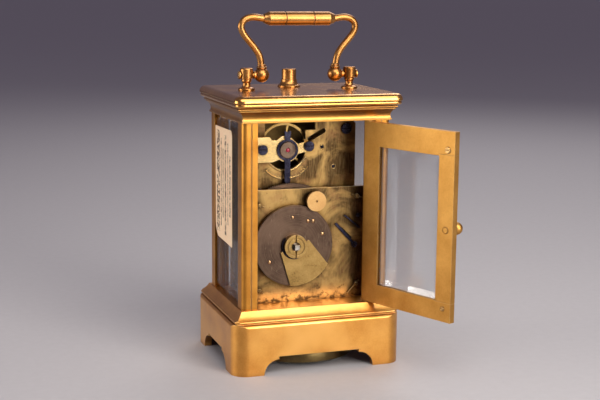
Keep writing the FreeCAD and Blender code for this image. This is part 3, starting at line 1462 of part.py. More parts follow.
def disc_sector():
    """Brass sector let in flush with the disc's edge and notched round the collar."""
    radius = number(D["disc_radius"])
    notch = number(D["collar_radius"]) + 0.35
    low, high = DISC_HIGH, DISC_HIGH + 1.0
    first, last, steps = -84.0, -150.0, 11
    rim = [on_circle(BARREL, radius, first + i * (last - first) / steps) for i in range(steps + 1)]
    near_tip = (BARREL[0] + 6.1, BARREL[1] - 2.6)
    far_tip = (BARREL[0] - 6.3, BARREL[1] + 2.2)
    plate = flat_solid([near_tip] + rim + [far_tip], low, high)
    return plate.cut(tube(BARREL, notch, low - 1, high + 1))


def disc_collar():
    """Slotted brass collar that holds the disc on its hub."""
    low = 18.4
    collar = tube(BARREL, number(D["collar_radius"]), DISC_HIGH + 0.05, COLLAR_HIGH)
    bore = tube(BARREL, HUB_RADIUS, DISC_HIGH - 1, low).fuse(tube(BARREL, 1.9, low, 21))
    collar = collar.cut(bore)
    recess = tube(BARREL, 3.9, COLLAR_HIGH - 0.35, 21).cut(tube(BARREL, 3.3, 18, 22))
    slot = Part.makeBox(0.8, 1.2, 12, Vector(BARREL[0] - 0.4, COLLAR_HIGH - 0.7, BARREL[1] - 6))
    return collar.cut([recess, slot])


BELL_CROWN = 15.6
BELL_WALL = 1.1


def bell():
    """Bell hung mouth downwards inside the base."""
    radius, rim, crown, wall = D["bell_radius"], 2.0, BELL_CROWN, BELL_WALL
    outline = [
        (1.55, crown - wall), (12, crown - 2.6 - wall * 0.1), (radius - wall - 2.8, 9.0, 20, -1),
        (radius - wall, rim, 16, -1), (radius, rim), (radius - 2.8 + 0.6, 9.6, 16, 1),
        (13, crown - 1.0, 20, 1), (1.55, crown),
    ]
    return turned(outline, (0, 0, 0))


def bell_stand():
    """Post from the floor through the bell's crown, with a nut below."""
    # the crown slopes, so the nut's edge stays a little lower than the bore's
    under, over = BELL_CROWN - BELL_WALL - 0.35, BELL_CROWN + 0.05
    outline = [
        (0, 11.2), (1.5, 11.2), (3.0, 12.2), (3.0, under), (1.5, under),
        (1.5, over), (2.4, over), (2.4, D["floor_under"]), (1.5, D["floor_under"]),
        (1.5, D["floor_top"] + 0.4), (0, D["floor_top"] + 0.4),
    ]
    return turned(outline)


def strike_hammer():
    """Hammer on an arbor between the plates; its arm passes through the floor to the bell."""
    head = (-27.6, 6.6)
    low, high = HAMMER_Y - 0.7, HAMMER_Y + 0.7
    along = math.atan2(head[1] - HAMMER[1], head[0] - HAMMER[0])
    side = Vector(-math.sin(along), 0, math.cos(along)) * 0.8
    shank = flat_solid([
        (HAMMER[0] + side.x, HAMMER[1] + side.z), (head[0] + side.x, head[1] + side.z),
        (head[0] - side.x, head[1] - side.z), (HAMMER[0] - side.x, HAMMER[1] - side.z),
    ], low, high)
    boss = tube(HAMMER, 1.9, low - 1, high + 1)
    block_head = Part.makeCylinder(1.9, 3.6, Vector(head[0] - 1.8, HAMMER_Y, head[1]), Vector(1, 0, 0))
    return fused(shank, boss, block_head, arbor(HAMMER, 0.8, -9.6, 5.6))


def build_repeat_and_strike():
    node("repeat_disc", shaped(repeat_disc()))
    node("disc_sector", shaped(disc_sector()))
    node("disc_collar", shaped(disc_collar()))
    node("bell", bell())
    node("bell_stand", bell_stand())
    node("strike_hammer", shaped(strike_hammer()))


# --------------------------------------------------------------------------------------
# Build, check and write
# --------------------------------------------------------------------------------------
def check_and_export():
    doc.recompute()
    for item in doc.Objects:
        if "Invalid" in item.State or "Error" in item.State:
            raise RuntimeError(f"{item.Label} could not be built: {item.State}")
    for label, piece in nodes.items():
        shape = piece.Shape
        if shape.isNull() or not shape.isValid() or shape.Volume <= 0:
            raise RuntimeError(f"{label} has no sound solid")
        shape.exportStep(f"parts/{label}.step")


build_case()
build_top_fittings()
build_door()
build_plates()
node("dial_mask", dial_mask())
node("dial", dial())
build_motion_work()
build_train()
build_repeat_and_strike()
check_and_export()
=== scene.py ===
import json
import math

import bmesh
import bpy
from mathutils import Matrix, Vector


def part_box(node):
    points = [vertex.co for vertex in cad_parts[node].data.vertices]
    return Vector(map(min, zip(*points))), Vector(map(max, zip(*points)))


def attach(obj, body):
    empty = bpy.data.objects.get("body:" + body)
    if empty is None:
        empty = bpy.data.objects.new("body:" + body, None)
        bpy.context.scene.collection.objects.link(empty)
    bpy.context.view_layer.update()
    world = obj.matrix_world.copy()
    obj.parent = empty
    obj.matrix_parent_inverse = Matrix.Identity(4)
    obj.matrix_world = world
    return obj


# Looks for the brass carriage clock, seen from behind with its door open.
# Metres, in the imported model's frame: +Z up, dial at -Y, door at +Y.

MM = 0.001
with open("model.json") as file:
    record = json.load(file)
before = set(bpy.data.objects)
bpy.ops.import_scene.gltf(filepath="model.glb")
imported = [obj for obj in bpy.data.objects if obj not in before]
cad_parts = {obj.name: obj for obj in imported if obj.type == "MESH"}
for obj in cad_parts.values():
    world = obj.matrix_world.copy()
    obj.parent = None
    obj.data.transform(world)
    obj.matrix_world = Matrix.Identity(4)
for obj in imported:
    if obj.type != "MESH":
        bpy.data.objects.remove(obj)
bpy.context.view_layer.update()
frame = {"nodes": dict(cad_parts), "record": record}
nodes = frame["nodes"]

# Axes that run along Y, as (x, z), and the faces that the trim stands on, as y.
BARREL = (7.2 * MM, 51.0 * MM)
BALANCE = (8.0 * MM, 90.5 * MM)
DIAL = (0.0, 66.0 * MM)
BACK_PLATE_FACE = 8.0 * MM
DIAL_FACE = -16.4 * MM


# --------------------------------------------------------------------------------------
# Node graph helper
# --------------------------------------------------------------------------------------
MIX_SHARE, MIX_A, MIX_B, MIX_RESULT = 0, 6, 7, 2  # places of the Mix node's colour sockets
BEVEL_SAMPLES = 4
CREVICE_SAMPLES = 8
# cosine of the lean between the true and the rounded normal, on flat ground and at an edge
FLAT_LEAN, EDGE_LEAN = 0.995, 0.90


class Graph:
    """A material with one Principled shader and short calls for the nodes it needs."""

    def __init__(self, name):
        self.material = bpy.data.materials.new(name)
        self.material.use_nodes = True
        self.tree = self.material.node_tree
        self.shader = self.tree.nodes["Principled BSDF"]
        self.at = self.new("ShaderNodeTexCoord").outputs["Object"]

    def new(self, kind, **settings):
        item = self.tree.nodes.new(kind)
        for key, value in settings.items():
            setattr(item, key, value)
        return item

    def put(self, socket, value):
        if isinstance(value, bpy.types.NodeSocket):
            self.tree.links.new(value, socket)
        elif value is not None:
            socket.default_value = value

    def set(self, **values):
        """Values or links on the shader's sockets, with _ for a space in the name."""
        for key, value in values.items():
            self.put(self.shader.inputs[key.replace("_", " ")], value)

    def noise(self, scale, detail, rough, at=None, distortion=0.0):
        """Fractal noise: waves in a metre, number of finer octaves, and the weight of each."""
        item = self.new("ShaderNodeTexNoise")
        self.put(item.inputs["Vector"], at or self.at)
        item.inputs["Scale"].default_value = scale
        item.inputs["Detail"].default_value = detail
        item.inputs["Roughness"].default_value = rough
        item.inputs["Distortion"].default_value = distortion
        return item.outputs["Fac"]

    def cells(self, scale):
        """Distance to scattered points; scale is the number of cells in a metre."""
        item = self.new("ShaderNodeTexVoronoi", feature="F1")
        self.put(item.inputs["Vector"], self.at)
        item.inputs["Scale"].default_value = scale
        return item.outputs["Distance"]

    def math(self, operation, a, b=None):
        item = self.new("ShaderNodeMath", operation=operation)
        for socket, value in zip(item.inputs, (a, b)):
            self.put(socket, value)
        return item.outputs[0]

    def plus(self, a, b):
        return self.math("ADD", a, b)

    def minus(self, a, b):
        return self.math("SUBTRACT", a, b)

    def times(self, a, b):
        return self.math("MULTIPLY", a, b)

    def span(self, value, low, high, to_low=0.0, to_high=1.0, smooth=False):
        """Map one range of a value to another, held at both ends."""
        kind = "SMOOTHSTEP" if smooth else "LINEAR"
        item = self.new("ShaderNodeMapRange", interpolation_type=kind)
        for socket, v in zip(item.inputs, (value, low, high, to_low, to_high)):
            self.put(socket, v)
        return item.outputs["Result"]

    def mix(self, share, a, b, blend="MIX"):
        item = self.new("ShaderNodeMix", data_type="RGBA", blend_type=blend)
        self.put(item.inputs[MIX_SHARE], share)
        self.put(item.inputs[MIX_A], a)
        self.put(item.inputs[MIX_B], b)
        return item.outputs[MIX_RESULT]

    def tinted(self, colour, by):
        return self.mix(1.0, colour, by, "MULTIPLY")

    def dark_corners(self, colour, openness, dark):
        """Colour as it is where openness is 1, and multiplied by dark where it is 0."""
        return self.tinted(colour, self.mix(openness, dark, WHITE))

    def xyz(self, at=None):
        item = self.new("ShaderNodeSeparateXYZ")
        self.put(item.inputs[0], at or self.at)
        return item.outputs

    def stretched(self, x, y, z):
        """Place with its own scale on each axis, for a noise of scale 1."""
        item = self.new("ShaderNodeMapping")
        self.put(item.inputs["Vector"], self.at)
        item.inputs["Scale"].default_value = (x, y, z)
        return item.outputs["Vector"]

    def rounded(self, radius):
        """The surface normal as if every edge had this radius."""
        item = self.new("ShaderNodeBevel", samples=BEVEL_SAMPLES)
        item.inputs["Radius"].default_value = radius
        return item.outputs["Normal"]

    def bump(self, height, strength, distance, normal=None):
        item = self.new("ShaderNodeBump")
        item.inputs["Strength"].default_value = strength
        item.inputs["Distance"].default_value = distance
        self.put(item.inputs["Height"], height)
        self.put(item.inputs["Normal"], normal)
        return item.outputs["Normal"]

    def crevice(self, reach):
        """1 in the open, towards 0 in corners and under edges."""
        item = self.new("ShaderNodeAmbientOcclusion", samples=CREVICE_SAMPLES)
        item.inputs["Distance"].default_value = reach
        return item.outputs["AO"]

    def worn_edge(self, radius):
        """1 along sharp outer and inner edges, 0 on flat ground."""
        geometry = self.new("ShaderNodeNewGeometry").outputs["Normal"]
        dot = self.new("ShaderNodeVectorMath", operation="DOT_PRODUCT")
        self.put(dot.inputs[0], geometry)
        self.put(dot.inputs[1], self.rounded(radius))
        return self.span(dot.outputs["Value"], FLAT_LEAN, EDGE_LEAN)


# --------------------------------------------------------------------------------------
# Materials
# --------------------------------------------------------------------------------------
def rgb(r, g, b):
    return (r, g, b, 1.0)


# Colours that several finishes share. Grime with painted shade, and painted shade on faces that
# look down, multiply the colour under them.
WHITE = rgb(1, 1, 1)
GRIME_AND_SHADE = rgb(0.30, 0.20, 0.10)
DOWNWARD_SHADE = rgb(0.34, 0.23, 0.12)
RUBBED_BRASS = rgb(1.0, 0.80, 0.42)
PLATE_GRIME_AND_SHADE = rgb(0.34, 0.25, 0.15)
STEEL_GRIME_AND_SHADE = rgb(0.35, 0.28, 0.22)


def brass(name, light, dark, rough, grain, pits, edge=0.35 * MM, grime_and_shade=0.5, wear=0.35,
          tint=None, under=0.0, lacquer=0.0):
    """Gilt or lacquered brass: mottled colour, fine grain, pale worn edges, grime with painted
    shade in corners and painted shade on faces that look down.

    rough is the lowest and highest roughness, grain the fine noise in a metre and pits how
    deep it bites. edge is the radius of worn edges, wear how pale they are and the grime
    weight how dark the corners are, with grime and painted shade. tint is a third colour in
    broad patches, under the weight of painted shade on faces that look down, and lacquer the
    weight of the clear coat.
    """
    g = Graph(name)
    broad = g.noise(90, 3.0, 0.6)
    fine = g.noise(grain, 3.0, 0.65)
    specks = g.cells(grain * 0.6)
    share = g.span(g.plus(g.times(broad, 0.7), g.times(fine, 0.3)), 0.34, 0.64)
    colour = g.mix(share, dark, light)
    if tint is not None:
        colour = g.mix(g.span(g.noise(38, 2.0, 0.5), 0.5, 0.72), colour, tint)
    # Grime with painted shade: corners and hollows are darkened from the crevice mask.
    openness = g.span(g.crevice(2.5 * MM), 0.35, 0.95)
    colour = g.tinted(colour, g.mix(grime_and_shade, WHITE, g.mix(openness, GRIME_AND_SHADE, WHITE)))
    # Painted shade: faces that look down are darkened.
    if under:
        facing = g.xyz(g.new("ShaderNodeNewGeometry").outputs["Normal"])[2]
        below = g.times(g.span(facing, 0.0, -0.40, smooth=True), under)
        colour = g.mix(below, colour, g.tinted(colour, DOWNWARD_SHADE))
    colour = g.mix(g.times(g.worn_edge(edge), wear), colour, RUBBED_BRASS)
    roughness = g.span(g.plus(g.times(fine, 0.5), g.times(broad, 0.5)), 0.3, 0.7, *rough)
    height = g.plus(fine, g.times(g.span(specks, 0.0, 0.35), 0.5))
    g.set(Base_Color=colour, Metallic=1.0, Roughness=roughness, Coat_Weight=lacquer,
          Coat_Roughness=0.22, Normal=g.bump(height, pits, 0.05 * MM, g.rounded(edge)))
    return g.material


PLATE_EDGE = 0.25 * MM
STEEL_EDGE = 0.15 * MM
PLATE_FOOT = 33 * MM  # the height below which the plates are more stained and painted lighter and warmer, as painted light


def plate_brass():
    """Aged movement plates: brushed up and down, rusty, and stained towards the foot, with
    painted light at the foot and grime with painted shade in corners and recesses.
    """
    g = Graph("plate_brass")
    brushed = g.noise(1.0, 3.0, 0.6, g.stretched(2600, 2600, 220))
    broad = g.noise(62, 4.0, 0.62, distortion=0.8)
    waves = g.noise(48, 1.0, 0.4)
    # The plates' colours are kept dark, partly as aged brass and partly as painted shade inside the
    # case.
    colour = g.mix(g.span(broad, 0.41, 0.58), rgb(0.058, 0.030, 0.012), rgb(0.42, 0.265, 0.092))
    rusty = g.span(g.noise(150, 3.0, 0.6), 0.52, 0.66, 0.0, 0.45)
    colour = g.mix(rusty, colour, rgb(0.26, 0.125, 0.055))
    colour = g.mix(g.span(brushed, 0.35, 0.7, 0.0, 0.24), colour, rgb(0.50, 0.36, 0.155))
    z = g.xyz()[2]
    # Painted light: the plates are painted lighter and warmer towards the foot.
    warm = g.span(z, PLATE_FOOT, 29.5 * MM, smooth=True)
    colour = g.mix(g.times(warm, 0.25), colour, rgb(0.74, 0.52, 0.22))
    foot = g.span(z, PLATE_FOOT, 27.5 * MM)
    stains = g.span(g.plus(g.noise(460, 5.0, 0.65), g.times(foot, 0.16)), 0.63, 0.72)
    colour = g.mix(g.times(stains, 0.70), colour, rgb(0.10, 0.045, 0.018))
    spots = g.span(g.cells(420), 0.10, 0.05)
    colour = g.mix(g.times(spots, 0.55), colour, rgb(0.10, 0.07, 0.03))
    # Grime with painted shade near corners, and painted shade deep in the wide recesses between the
    # parts.
    near = g.span(g.crevice(3.0 * MM), 0.25, 0.95)
    deep = g.span(g.crevice(26 * MM), 0.10, 0.55)
    for openness in (near, deep):
        colour = g.dark_corners(colour, openness, PLATE_GRIME_AND_SHADE)
    colour = g.mix(g.times(g.worn_edge(PLATE_EDGE), 0.4), colour, rgb(0.9, 0.72, 0.4))
    roughness = g.plus(g.span(brushed, 0.3, 0.7, 0.30, 0.40), g.times(stains, 0.25))
    uneven = g.bump(waves, 0.30, 0.9 * MM, g.rounded(PLATE_EDGE))
    scratches = g.plus(brushed, g.times(stains, 0.4))
    g.set(Base_Color=colour, Metallic=1.0, Roughness=roughness,
          Normal=g.bump(scratches, 0.14, 0.03 * MM, uneven))
    return g.material


def disc_steel():
    """Darkened steel disc, turned in fine circles about its own axis."""
    g = Graph("disc_steel")
    x, _, z = g.xyz()
    squares = [g.math("POWER", g.minus(place, centre), 2.0)
               for place, centre in ((x, BARREL[0]), (z, BARREL[1]))]
    radius = g.math("SQRT", g.plus(*squares))
    turning = g.new("ShaderNodeTexNoise", noise_dimensions="1D")
    g.put(turning.inputs["W"], radius)
    turning.inputs["Scale"].default_value = 2600
    turning.inputs["Detail"].default_value = 3.0
    rings = turning.outputs["Fac"]
    broad = g.noise(110, 4.0, 0.6, distortion=0.4)
    colour = g.mix(g.span(broad, 0.3, 0.7), rgb(0.060, 0.036, 0.025), rgb(0.135, 0.086, 0.060))
    colour = g.mix(g.span(rings, 0.4, 0.75, 0.0, 0.5), colour, rgb(0.175, 0.125, 0.090))
    marks = g.span(g.noise(1.0, 2.0, 0.5, g.stretched(3500, 900, 300)), 0.66, 0.74)
    colour = g.mix(g.times(marks, 0.4), colour, rgb(0.40, 0.32, 0.24))
    spots = g.span(g.cells(300), 0.09, 0.04)
    colour = g.mix(g.times(spots, 0.6), colour, rgb(0.05, 0.04, 0.03))
    g.set(Base_Color=colour, Metallic=1.0, Roughness=g.span(rings, 0.3, 0.7, 0.34, 0.46),
          Normal=g.bump(rings, 0.2, 0.03 * MM, g.rounded(STEEL_EDGE)))
    return g.material


def steel(name, light, dark, rough=(0.22, 0.38)):
    """Small steelwork: mottled colour, fine grain, grime and painted shade in corners, and bright
    worn edges.
    """
    g = Graph(name)
    fine = g.noise(1500, 3.0, 0.6)
    broad = g.noise(210, 3.0, 0.6)
    colour = g.mix(g.span(broad, 0.33, 0.66), dark, light)
    # Grime with painted shade: corners are darkened from the crevice mask.
    colour = g.dark_corners(colour, g.span(g.crevice(1.2 * MM), 0.3, 0.95), STEEL_GRIME_AND_SHADE)
    bright = rgb(*(min(1.0, c * 1.7) for c in light[:3]))
    colour = g.mix(g.times(g.worn_edge(STEEL_EDGE), 0.35), colour, bright)
    g.set(Base_Color=colour, Metallic=1.0, Roughness=g.span(fine, 0.3, 0.7, *rough),
          Normal=g.bump(fine, 0.12, 0.03 * MM, g.rounded(STEEL_EDGE)))
    return g.material


def glass():
    """Clear bevelled plate glass with a faint green body and a trace of dust."""
    g = Graph("clear_glass")
    smears = g.noise(60, 4.0, 0.6, distortion=0.8)
    g.set(Base_Color=rgb(0.86, 0.90, 0.88), Metallic=0.0, Transmission_Weight=1.0, IOR=1.5,
          Alpha=0.35, Roughness=g.span(smears, 0.45, 0.8, 0.0, 0.03),
          Normal=g.bump(g.noise(35, 1.0, 0.4), 0.01, 0.05 * MM))
    return g.material


# Columns of marks on the label, in mm: middle along y, half width, length of a mark, lowest
# and highest z. The last value only makes the columns differ.
LABEL_COLUMNS = (
    (-13.6, 2.3, 3.0, 53.0, 97.0, 3.0), (-9.0, 0.75, 1.3, 56.0, 94.0, 11.0),
    (-6.0, 0.75, 1.3, 60.0, 90.0, 23.0), (-2.2, 1.2, 2.2, 53.0, 96.0, 31.0),
    (1.6, 0.6, 1.2, 58.0, 93.0, 47.0), (4.8, 0.9, 1.9, 62.0, 88.0, 59.0),
)


def paper():
    """Yellowed paper with columns of generic ink marks that spell nothing."""
    g = Graph("label_paper")
    fibres = g.noise(1400, 4.0, 0.7)
    broad = g.noise(95, 3.0, 0.6)
    colour = g.mix(g.span(broad, 0.3, 0.7), rgb(0.93, 0.66, 0.42), rgb(0.97, 0.76, 0.52))
    colour = g.mix(g.span(fibres, 0.35, 0.75, 0.0, 0.35), colour, rgb(0.62, 0.40, 0.22))
    _, y, z = g.xyz()
    marks = None
    for middle, half, pitch, low, high, seed in LABEL_COLUMNS:
        across = g.math("ABSOLUTE", g.minus(y, middle * MM))
        row = g.math("LESS_THAN", across, half * MM)
        along = g.times(g.math("GREATER_THAN", z, low * MM), g.math("LESS_THAN", z, high * MM))
        place = g.new("ShaderNodeCombineXYZ")
        g.put(place.inputs[0], g.times(y, 0.5 / (half * MM)))
        g.put(place.inputs[1], g.times(z, 1.0 / (pitch * MM)))
        g.put(place.inputs[2], seed)
        blots = g.noise(2.3, 1.0, 0.5, place.outputs[0], distortion=1.2)
        strokes = g.math("GREATER_THAN", blots, 0.48)
        mark = g.times(g.times(row, along), strokes)
        marks = mark if marks is None else g.math("MAXIMUM", marks, mark)
    colour = g.mix(g.times(marks, 0.95), colour, rgb(0.045, 0.025, 0.018))
    g.set(Base_Color=colour, Metallic=0.0, Roughness=0.78,
          Normal=g.bump(fibres, 0.25, 0.03 * MM))
    return g.material


def enamel():
    """White dial enamel, glossy and very slightly uneven."""
    g = Graph("dial_enamel")
    broad = g.noise(70, 3.0, 0.5)
    colour = g.mix(g.span(broad, 0.3, 0.7), rgb(0.80, 0.77, 0.69), rgb(0.90, 0.88, 0.82))
    g.set(Base_Color=colour, Roughness=g.span(g.noise(400, 2.0, 0.5), 0.3, 0.7, 0.08, 0.16),
          Normal=g.bump(g.noise(160, 2.0, 0.5), 0.05, 0.05 * MM))
    return g.material


def mottled(name, scale, dark, light, relief, **gloss):
    """A plain coloured surface with a little variation and fine relief."""
    g = Graph(name)
    shade = g.span(g.noise(scale, 2.0, 0.5), 0.3, 0.7)
    g.set(Base_Color=g.mix(shade, dark, light), **gloss,
          Normal=g.bump(shade, relief, 0.02 * MM))
    return g.material


def floor_finish():
    """Pale matt paint."""
    g = Graph("floor_paint")
    fine = g.noise(260, 3.0, 0.6)
    g.set(Base_Color=g.mix(fine, rgb(0.42, 0.41, 0.43), rgb(0.47, 0.46, 0.48)), Roughness=0.62,
          Normal=g.bump(fine, 0.05, 0.1 * MM))
    return g.material


# Each brass and steel is given by its light and its dark colour, then its surface.
FINISHES = {
    "case_brass": brass("case_brass", rgb(0.82, 0.41, 0.085), rgb(0.64, 0.27, 0.040),
                        rough=(0.34, 0.44), grain=1700, pits=0.30, tint=rgb(0.90, 0.48, 0.12),
                        under=0.9, lacquer=0.5),
    # Painted shade: a darker copy of the case brass for the cornice and the handle pivots, which
    # lie in shade.
    "shaded_case_brass": brass("shaded_case_brass", rgb(0.56, 0.28, 0.055), rgb(0.40, 0.175, 0.030),
                           rough=(0.32, 0.42), grain=1700, pits=0.30, under=0.8, lacquer=0.3),
    "pillar_brass": brass("pillar_brass", rgb(0.66, 0.31, 0.055), rgb(0.42, 0.165, 0.025),
                          rough=(0.32, 0.42), grain=2200, pits=0.2, tint=rgb(0.70, 0.35, 0.075)),
    "top_brass": brass("top_brass", rgb(0.72, 0.38, 0.10), rgb(0.52, 0.24, 0.055),
                       rough=(0.20, 0.27), grain=2400, pits=0.06, wear=0.45, lacquer=0.3),
    "handle_brass": brass("handle_brass", rgb(0.49, 0.245, 0.078), rgb(0.33, 0.135, 0.030),
                          rough=(0.30, 0.38), grain=2600, pits=0.10, edge=0.2 * MM, wear=0.4),
    "door_brass": brass("door_brass", rgb(0.62, 0.335, 0.085), rgb(0.44, 0.215, 0.045),
                        rough=(0.40, 0.50), grain=1500, pits=0.30, edge=0.25 * MM),
    "plate_brass": plate_brass(),
    "cock_brass": brass("cock_brass", rgb(0.88, 0.66, 0.32), rgb(0.70, 0.48, 0.18),
                        rough=(0.20, 0.30), grain=1500, pits=0.12, edge=0.2 * MM, grime_and_shade=0.7),
    # Painted shade: the wheels' brass is darkened for the shade inside the movement.
    "wheel_brass": brass("wheel_brass", rgb(0.47, 0.31, 0.11), rgb(0.25, 0.15, 0.045),
                         rough=(0.24, 0.36), grain=1500, pits=0.15, edge=0.15 * MM),
    "knob_brass": brass("knob_brass", rgb(0.64, 0.42, 0.18), rgb(0.50, 0.29, 0.11),
                        rough=(0.42, 0.52), grain=1500, pits=0.2, edge=0.15 * MM),
    # Painted shade: a darker copy of the plate brass for the front plate, which lies in shade.
    "shaded_plate_brass": brass("shaded_plate_brass", rgb(0.15, 0.095, 0.035), rgb(0.065, 0.040, 0.015),
                        rough=(0.36, 0.46), grain=1500, pits=0.15, grime_and_shade=0.9),
    "rivet_brass": brass("rivet_brass", rgb(0.52, 0.33, 0.17), rgb(0.26, 0.15, 0.08),
                         rough=(0.20, 0.30), grain=1500, pits=0.15, grime_and_shade=1.0),
    "screw_brass": brass("screw_brass", rgb(0.86, 0.56, 0.22), rgb(0.34, 0.17, 0.05),
                         rough=(0.18, 0.28), grain=1500, pits=0.15, edge=0.2 * MM, grime_and_shade=1.0),
    # Painted shade: the bell's brass is darkened for the shade under the base.
    "bell_brass": brass("bell_brass", rgb(0.17, 0.12, 0.05), rgb(0.08, 0.055, 0.022),
                        rough=(0.28, 0.40), grain=1500, pits=0.15),
    "clear_glass": glass(),
    "label_paper": paper(),
    "steel": steel("steel", rgb(0.50, 0.47, 0.42), rgb(0.24, 0.21, 0.17)),
    "cap_steel": steel("cap_steel", rgb(0.20, 0.14, 0.10), rgb(0.09, 0.06, 0.045),
                       rough=(0.26, 0.36)),
    "disc_steel": disc_steel(),
    "blued_steel": steel("blued_steel", rgb(0.050, 0.049, 0.080), rgb(0.018, 0.017, 0.030),
                         rough=(0.20, 0.32)),
    "dial_enamel": enamel(),
    "dial_ink": mottled("dial_ink", 900, rgb(0.010, 0.010, 0.014), rgb(0.03, 0.03, 0.04),
                        relief=0.05, Roughness=0.3),
    "ruby": mottled("ruby", 700, rgb(0.30, 0.01, 0.03), rgb(0.60, 0.03, 0.07),
                    relief=0.03, Roughness=0.06, Coat_Weight=0.6),
}
# Nodes whose finish differs from the one that their material slot names.
OWN_FINISH = {
    # The front plate, the cornice and the handle pivots take darker copies of their brass as
    # painted shade.
    "setting_knob": "knob_brass", "door_screws": "screw_brass", "front_plate": "shaded_plate_brass",
    "cornice_frame": "shaded_case_brass", "handle_pivots": "shaded_case_brass",
}
SMOOTH_ANGLE = math.radians(32)


def smooth(item):
    for face in item.data.polygons:
        face.use_smooth = True


def dress_frame():
    """Give every CAD node its finish and shade its curved faces smoothly."""
    slots = {row["node"]: row["material_slot"] for row in frame["record"]["subparts"]}
    for name, item in nodes.items():
        item.data.materials.clear()
        item.data.materials.append(FINISHES[OWN_FINISH.get(name, slots[name])])
        for face in item.data.polygons:
            face.material_index = 0
        smooth(item)
        item.data.set_sharp_from_angle(angle=SMOOTH_ANGLE)


# --------------------------------------------------------------------------------------
# Small pieces that only the visual model has
# --------------------------------------------------------------------------------------
def finished(name, bm):
    bmesh.ops.recalc_face_normals(bm, faces=bm.faces)
    mesh = bpy.data.meshes.new(name)
    bm.to_mesh(mesh)
    bm.free()
    return mesh


def piece(name, bm, finish, body):
    """A visual piece with its finish, riding on a body."""
    item = bpy.data.objects.new(name, finished(name, bm))
    bpy.context.collection.objects.link(item)
    item.data.materials.append(FINISHES[finish])
    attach(item, body)
    return item


def skin(bm, rows):
    """Faces between rings of points, and a cap on each end."""
    for a, b in zip(rows, rows[1:]):
        for k in range(len(a)):
            after = (k + 1) % len(a)
            bm.faces.new((a[k], a[after], b[after], b[k]))
    bm.faces.new(rows[0])
    bm.faces.new(rows[-1][::-1])


def strip(bm, path, width, depth, thick, crown=1.0):
    """A raised line along (x, z) points, from y = depth; crown is its top width over its base's."""
    rows = []
    for i, (x, z) in enumerate(path):
        x0, z0 = path[max(i - 1, 0)]
        x1, z1 = path[min(i + 1, len(path) - 1)]
        run = Vector((x1 - x0, z1 - z0)).normalized()
        side = Vector((-run.y, run.x)) * width / 2
        top = side * crown
        corners = [(x + side.x, depth, z + side.y), (x - side.x, depth, z - side.y),
                   (x - top.x, depth + thick, z - top.y), (x + top.x, depth + thick, z + top.y)]
        rows.append([bm.verts.new(c) for c in corners])
    skin(bm, rows)


def on_circle(centre, radius, degrees):
    """The (x, z) point at an angle from +X towards +Z."""
    turn = math.radians(degrees)
    return (centre[0] + radius * math.cos(turn), centre[1] + radius * math.sin(turn))


def arc(centre, radius, start, end, steps):
    return [on_circle(centre, radius, start + (end - start) * i / steps)
            for i in range(steps + 1)]


TURNED_SIDES = 24


def turned(name, outline, centre, face, finish, body):
    """A smooth turned piece on a face at y; outline is (radius, height towards +Y) in mm."""
    bm = bmesh.new()
    rows = []
    for radius, out in outline:
        row = []
        for k in range(TURNED_SIDES):
            turn = 2 * math.pi * k / TURNED_SIDES
            row.append(bm.verts.new((centre[0] + radius * MM * math.cos(turn), face + out * MM,
                                     centre[1] + radius * MM * math.sin(turn))))
        rows.append(row)
    skin(bm, rows)
    smooth(piece(name, bm, finish, body))


# Regulator scale, lengths in mm from the balance's axis, angles in degrees.
SCALE_ARCS = (  # radius, width, start, end
    (9.1, 1.10, -158, -22),
    (12.4, 0.85, -142, -44),
)
ARC_HEIGHT, ARC_CROWN, ARC_STEPS = 0.34, 0.12, 48
TICKS, LONG_TICK_EVERY = 17, 4
TICKS_START, TICKS_SPAN = -134, 88
TICK_OUTER, TICK_INNER, LONG_TICK_INNER = 12.2, 10.9, 10.4
TICK_WIDTH, TICK_HEIGHT, TICK_CROWN = 0.30, 0.12, 0.4


def regulator_scale():
    """Raised scale lines on the back plate below the balance, with ticks between them."""
    bm = bmesh.new()
    for radius, width, start, end in SCALE_ARCS:
        strip(bm, arc(BALANCE, radius * MM, start, end, ARC_STEPS), width * MM, BACK_PLATE_FACE,
              ARC_HEIGHT * MM, ARC_CROWN)
    for i in range(TICKS):
        turn = TICKS_START + i * TICKS_SPAN / (TICKS - 1)
        inner = TICK_INNER if i % LONG_TICK_EVERY else LONG_TICK_INNER
        ends = [on_circle(BALANCE, r * MM, turn) for r in (inner, TICK_OUTER)]
        strip(bm, ends, TICK_WIDTH * MM, BACK_PLATE_FACE, TICK_HEIGHT * MM, TICK_CROWN)
    piece("regulator_scale", bm, "cock_brass", "case")


JEWEL_INSET = 0.3 * MM  # how far it is sunk into the cap
JEWEL_OUTLINE = [(0.86, 0.0), (0.86, 0.12), (0.80, 0.24), (0.62, 0.34), (0.36, 0.40),
                 (0.12, 0.42)]


def jewel():
    """Domed ruby end stone let into the balance cap."""
    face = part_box("cock_cap")[1].y - JEWEL_INSET
    turned("jewel", JEWEL_OUTLINE, BALANCE, face, "ruby", "case")


# Angle in degrees and distance in mm of each rivet from the disc's axis.
RIVETS = ((86.7, 12.0), (120.9, 11.9), (129.7, 13.1), (160.8, 13.3), (-31.3, 12.5))
RIVET_OUTLINE = [(0.84, -0.02), (0.82, 0.12), (0.66, 0.25), (0.38, 0.33), (0.08, 0.35)]


def disc_rivets():
    """Low domed brass rivets on the disc."""
    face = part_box("disc_sector")[0].y
    for i, (angle, reach) in enumerate(RIVETS):
        turned(f"disc_rivet_{i}", RIVET_OUTLINE, on_circle(BARREL, reach * MM, angle), face,
               "rivet_brass", "repeat_work")


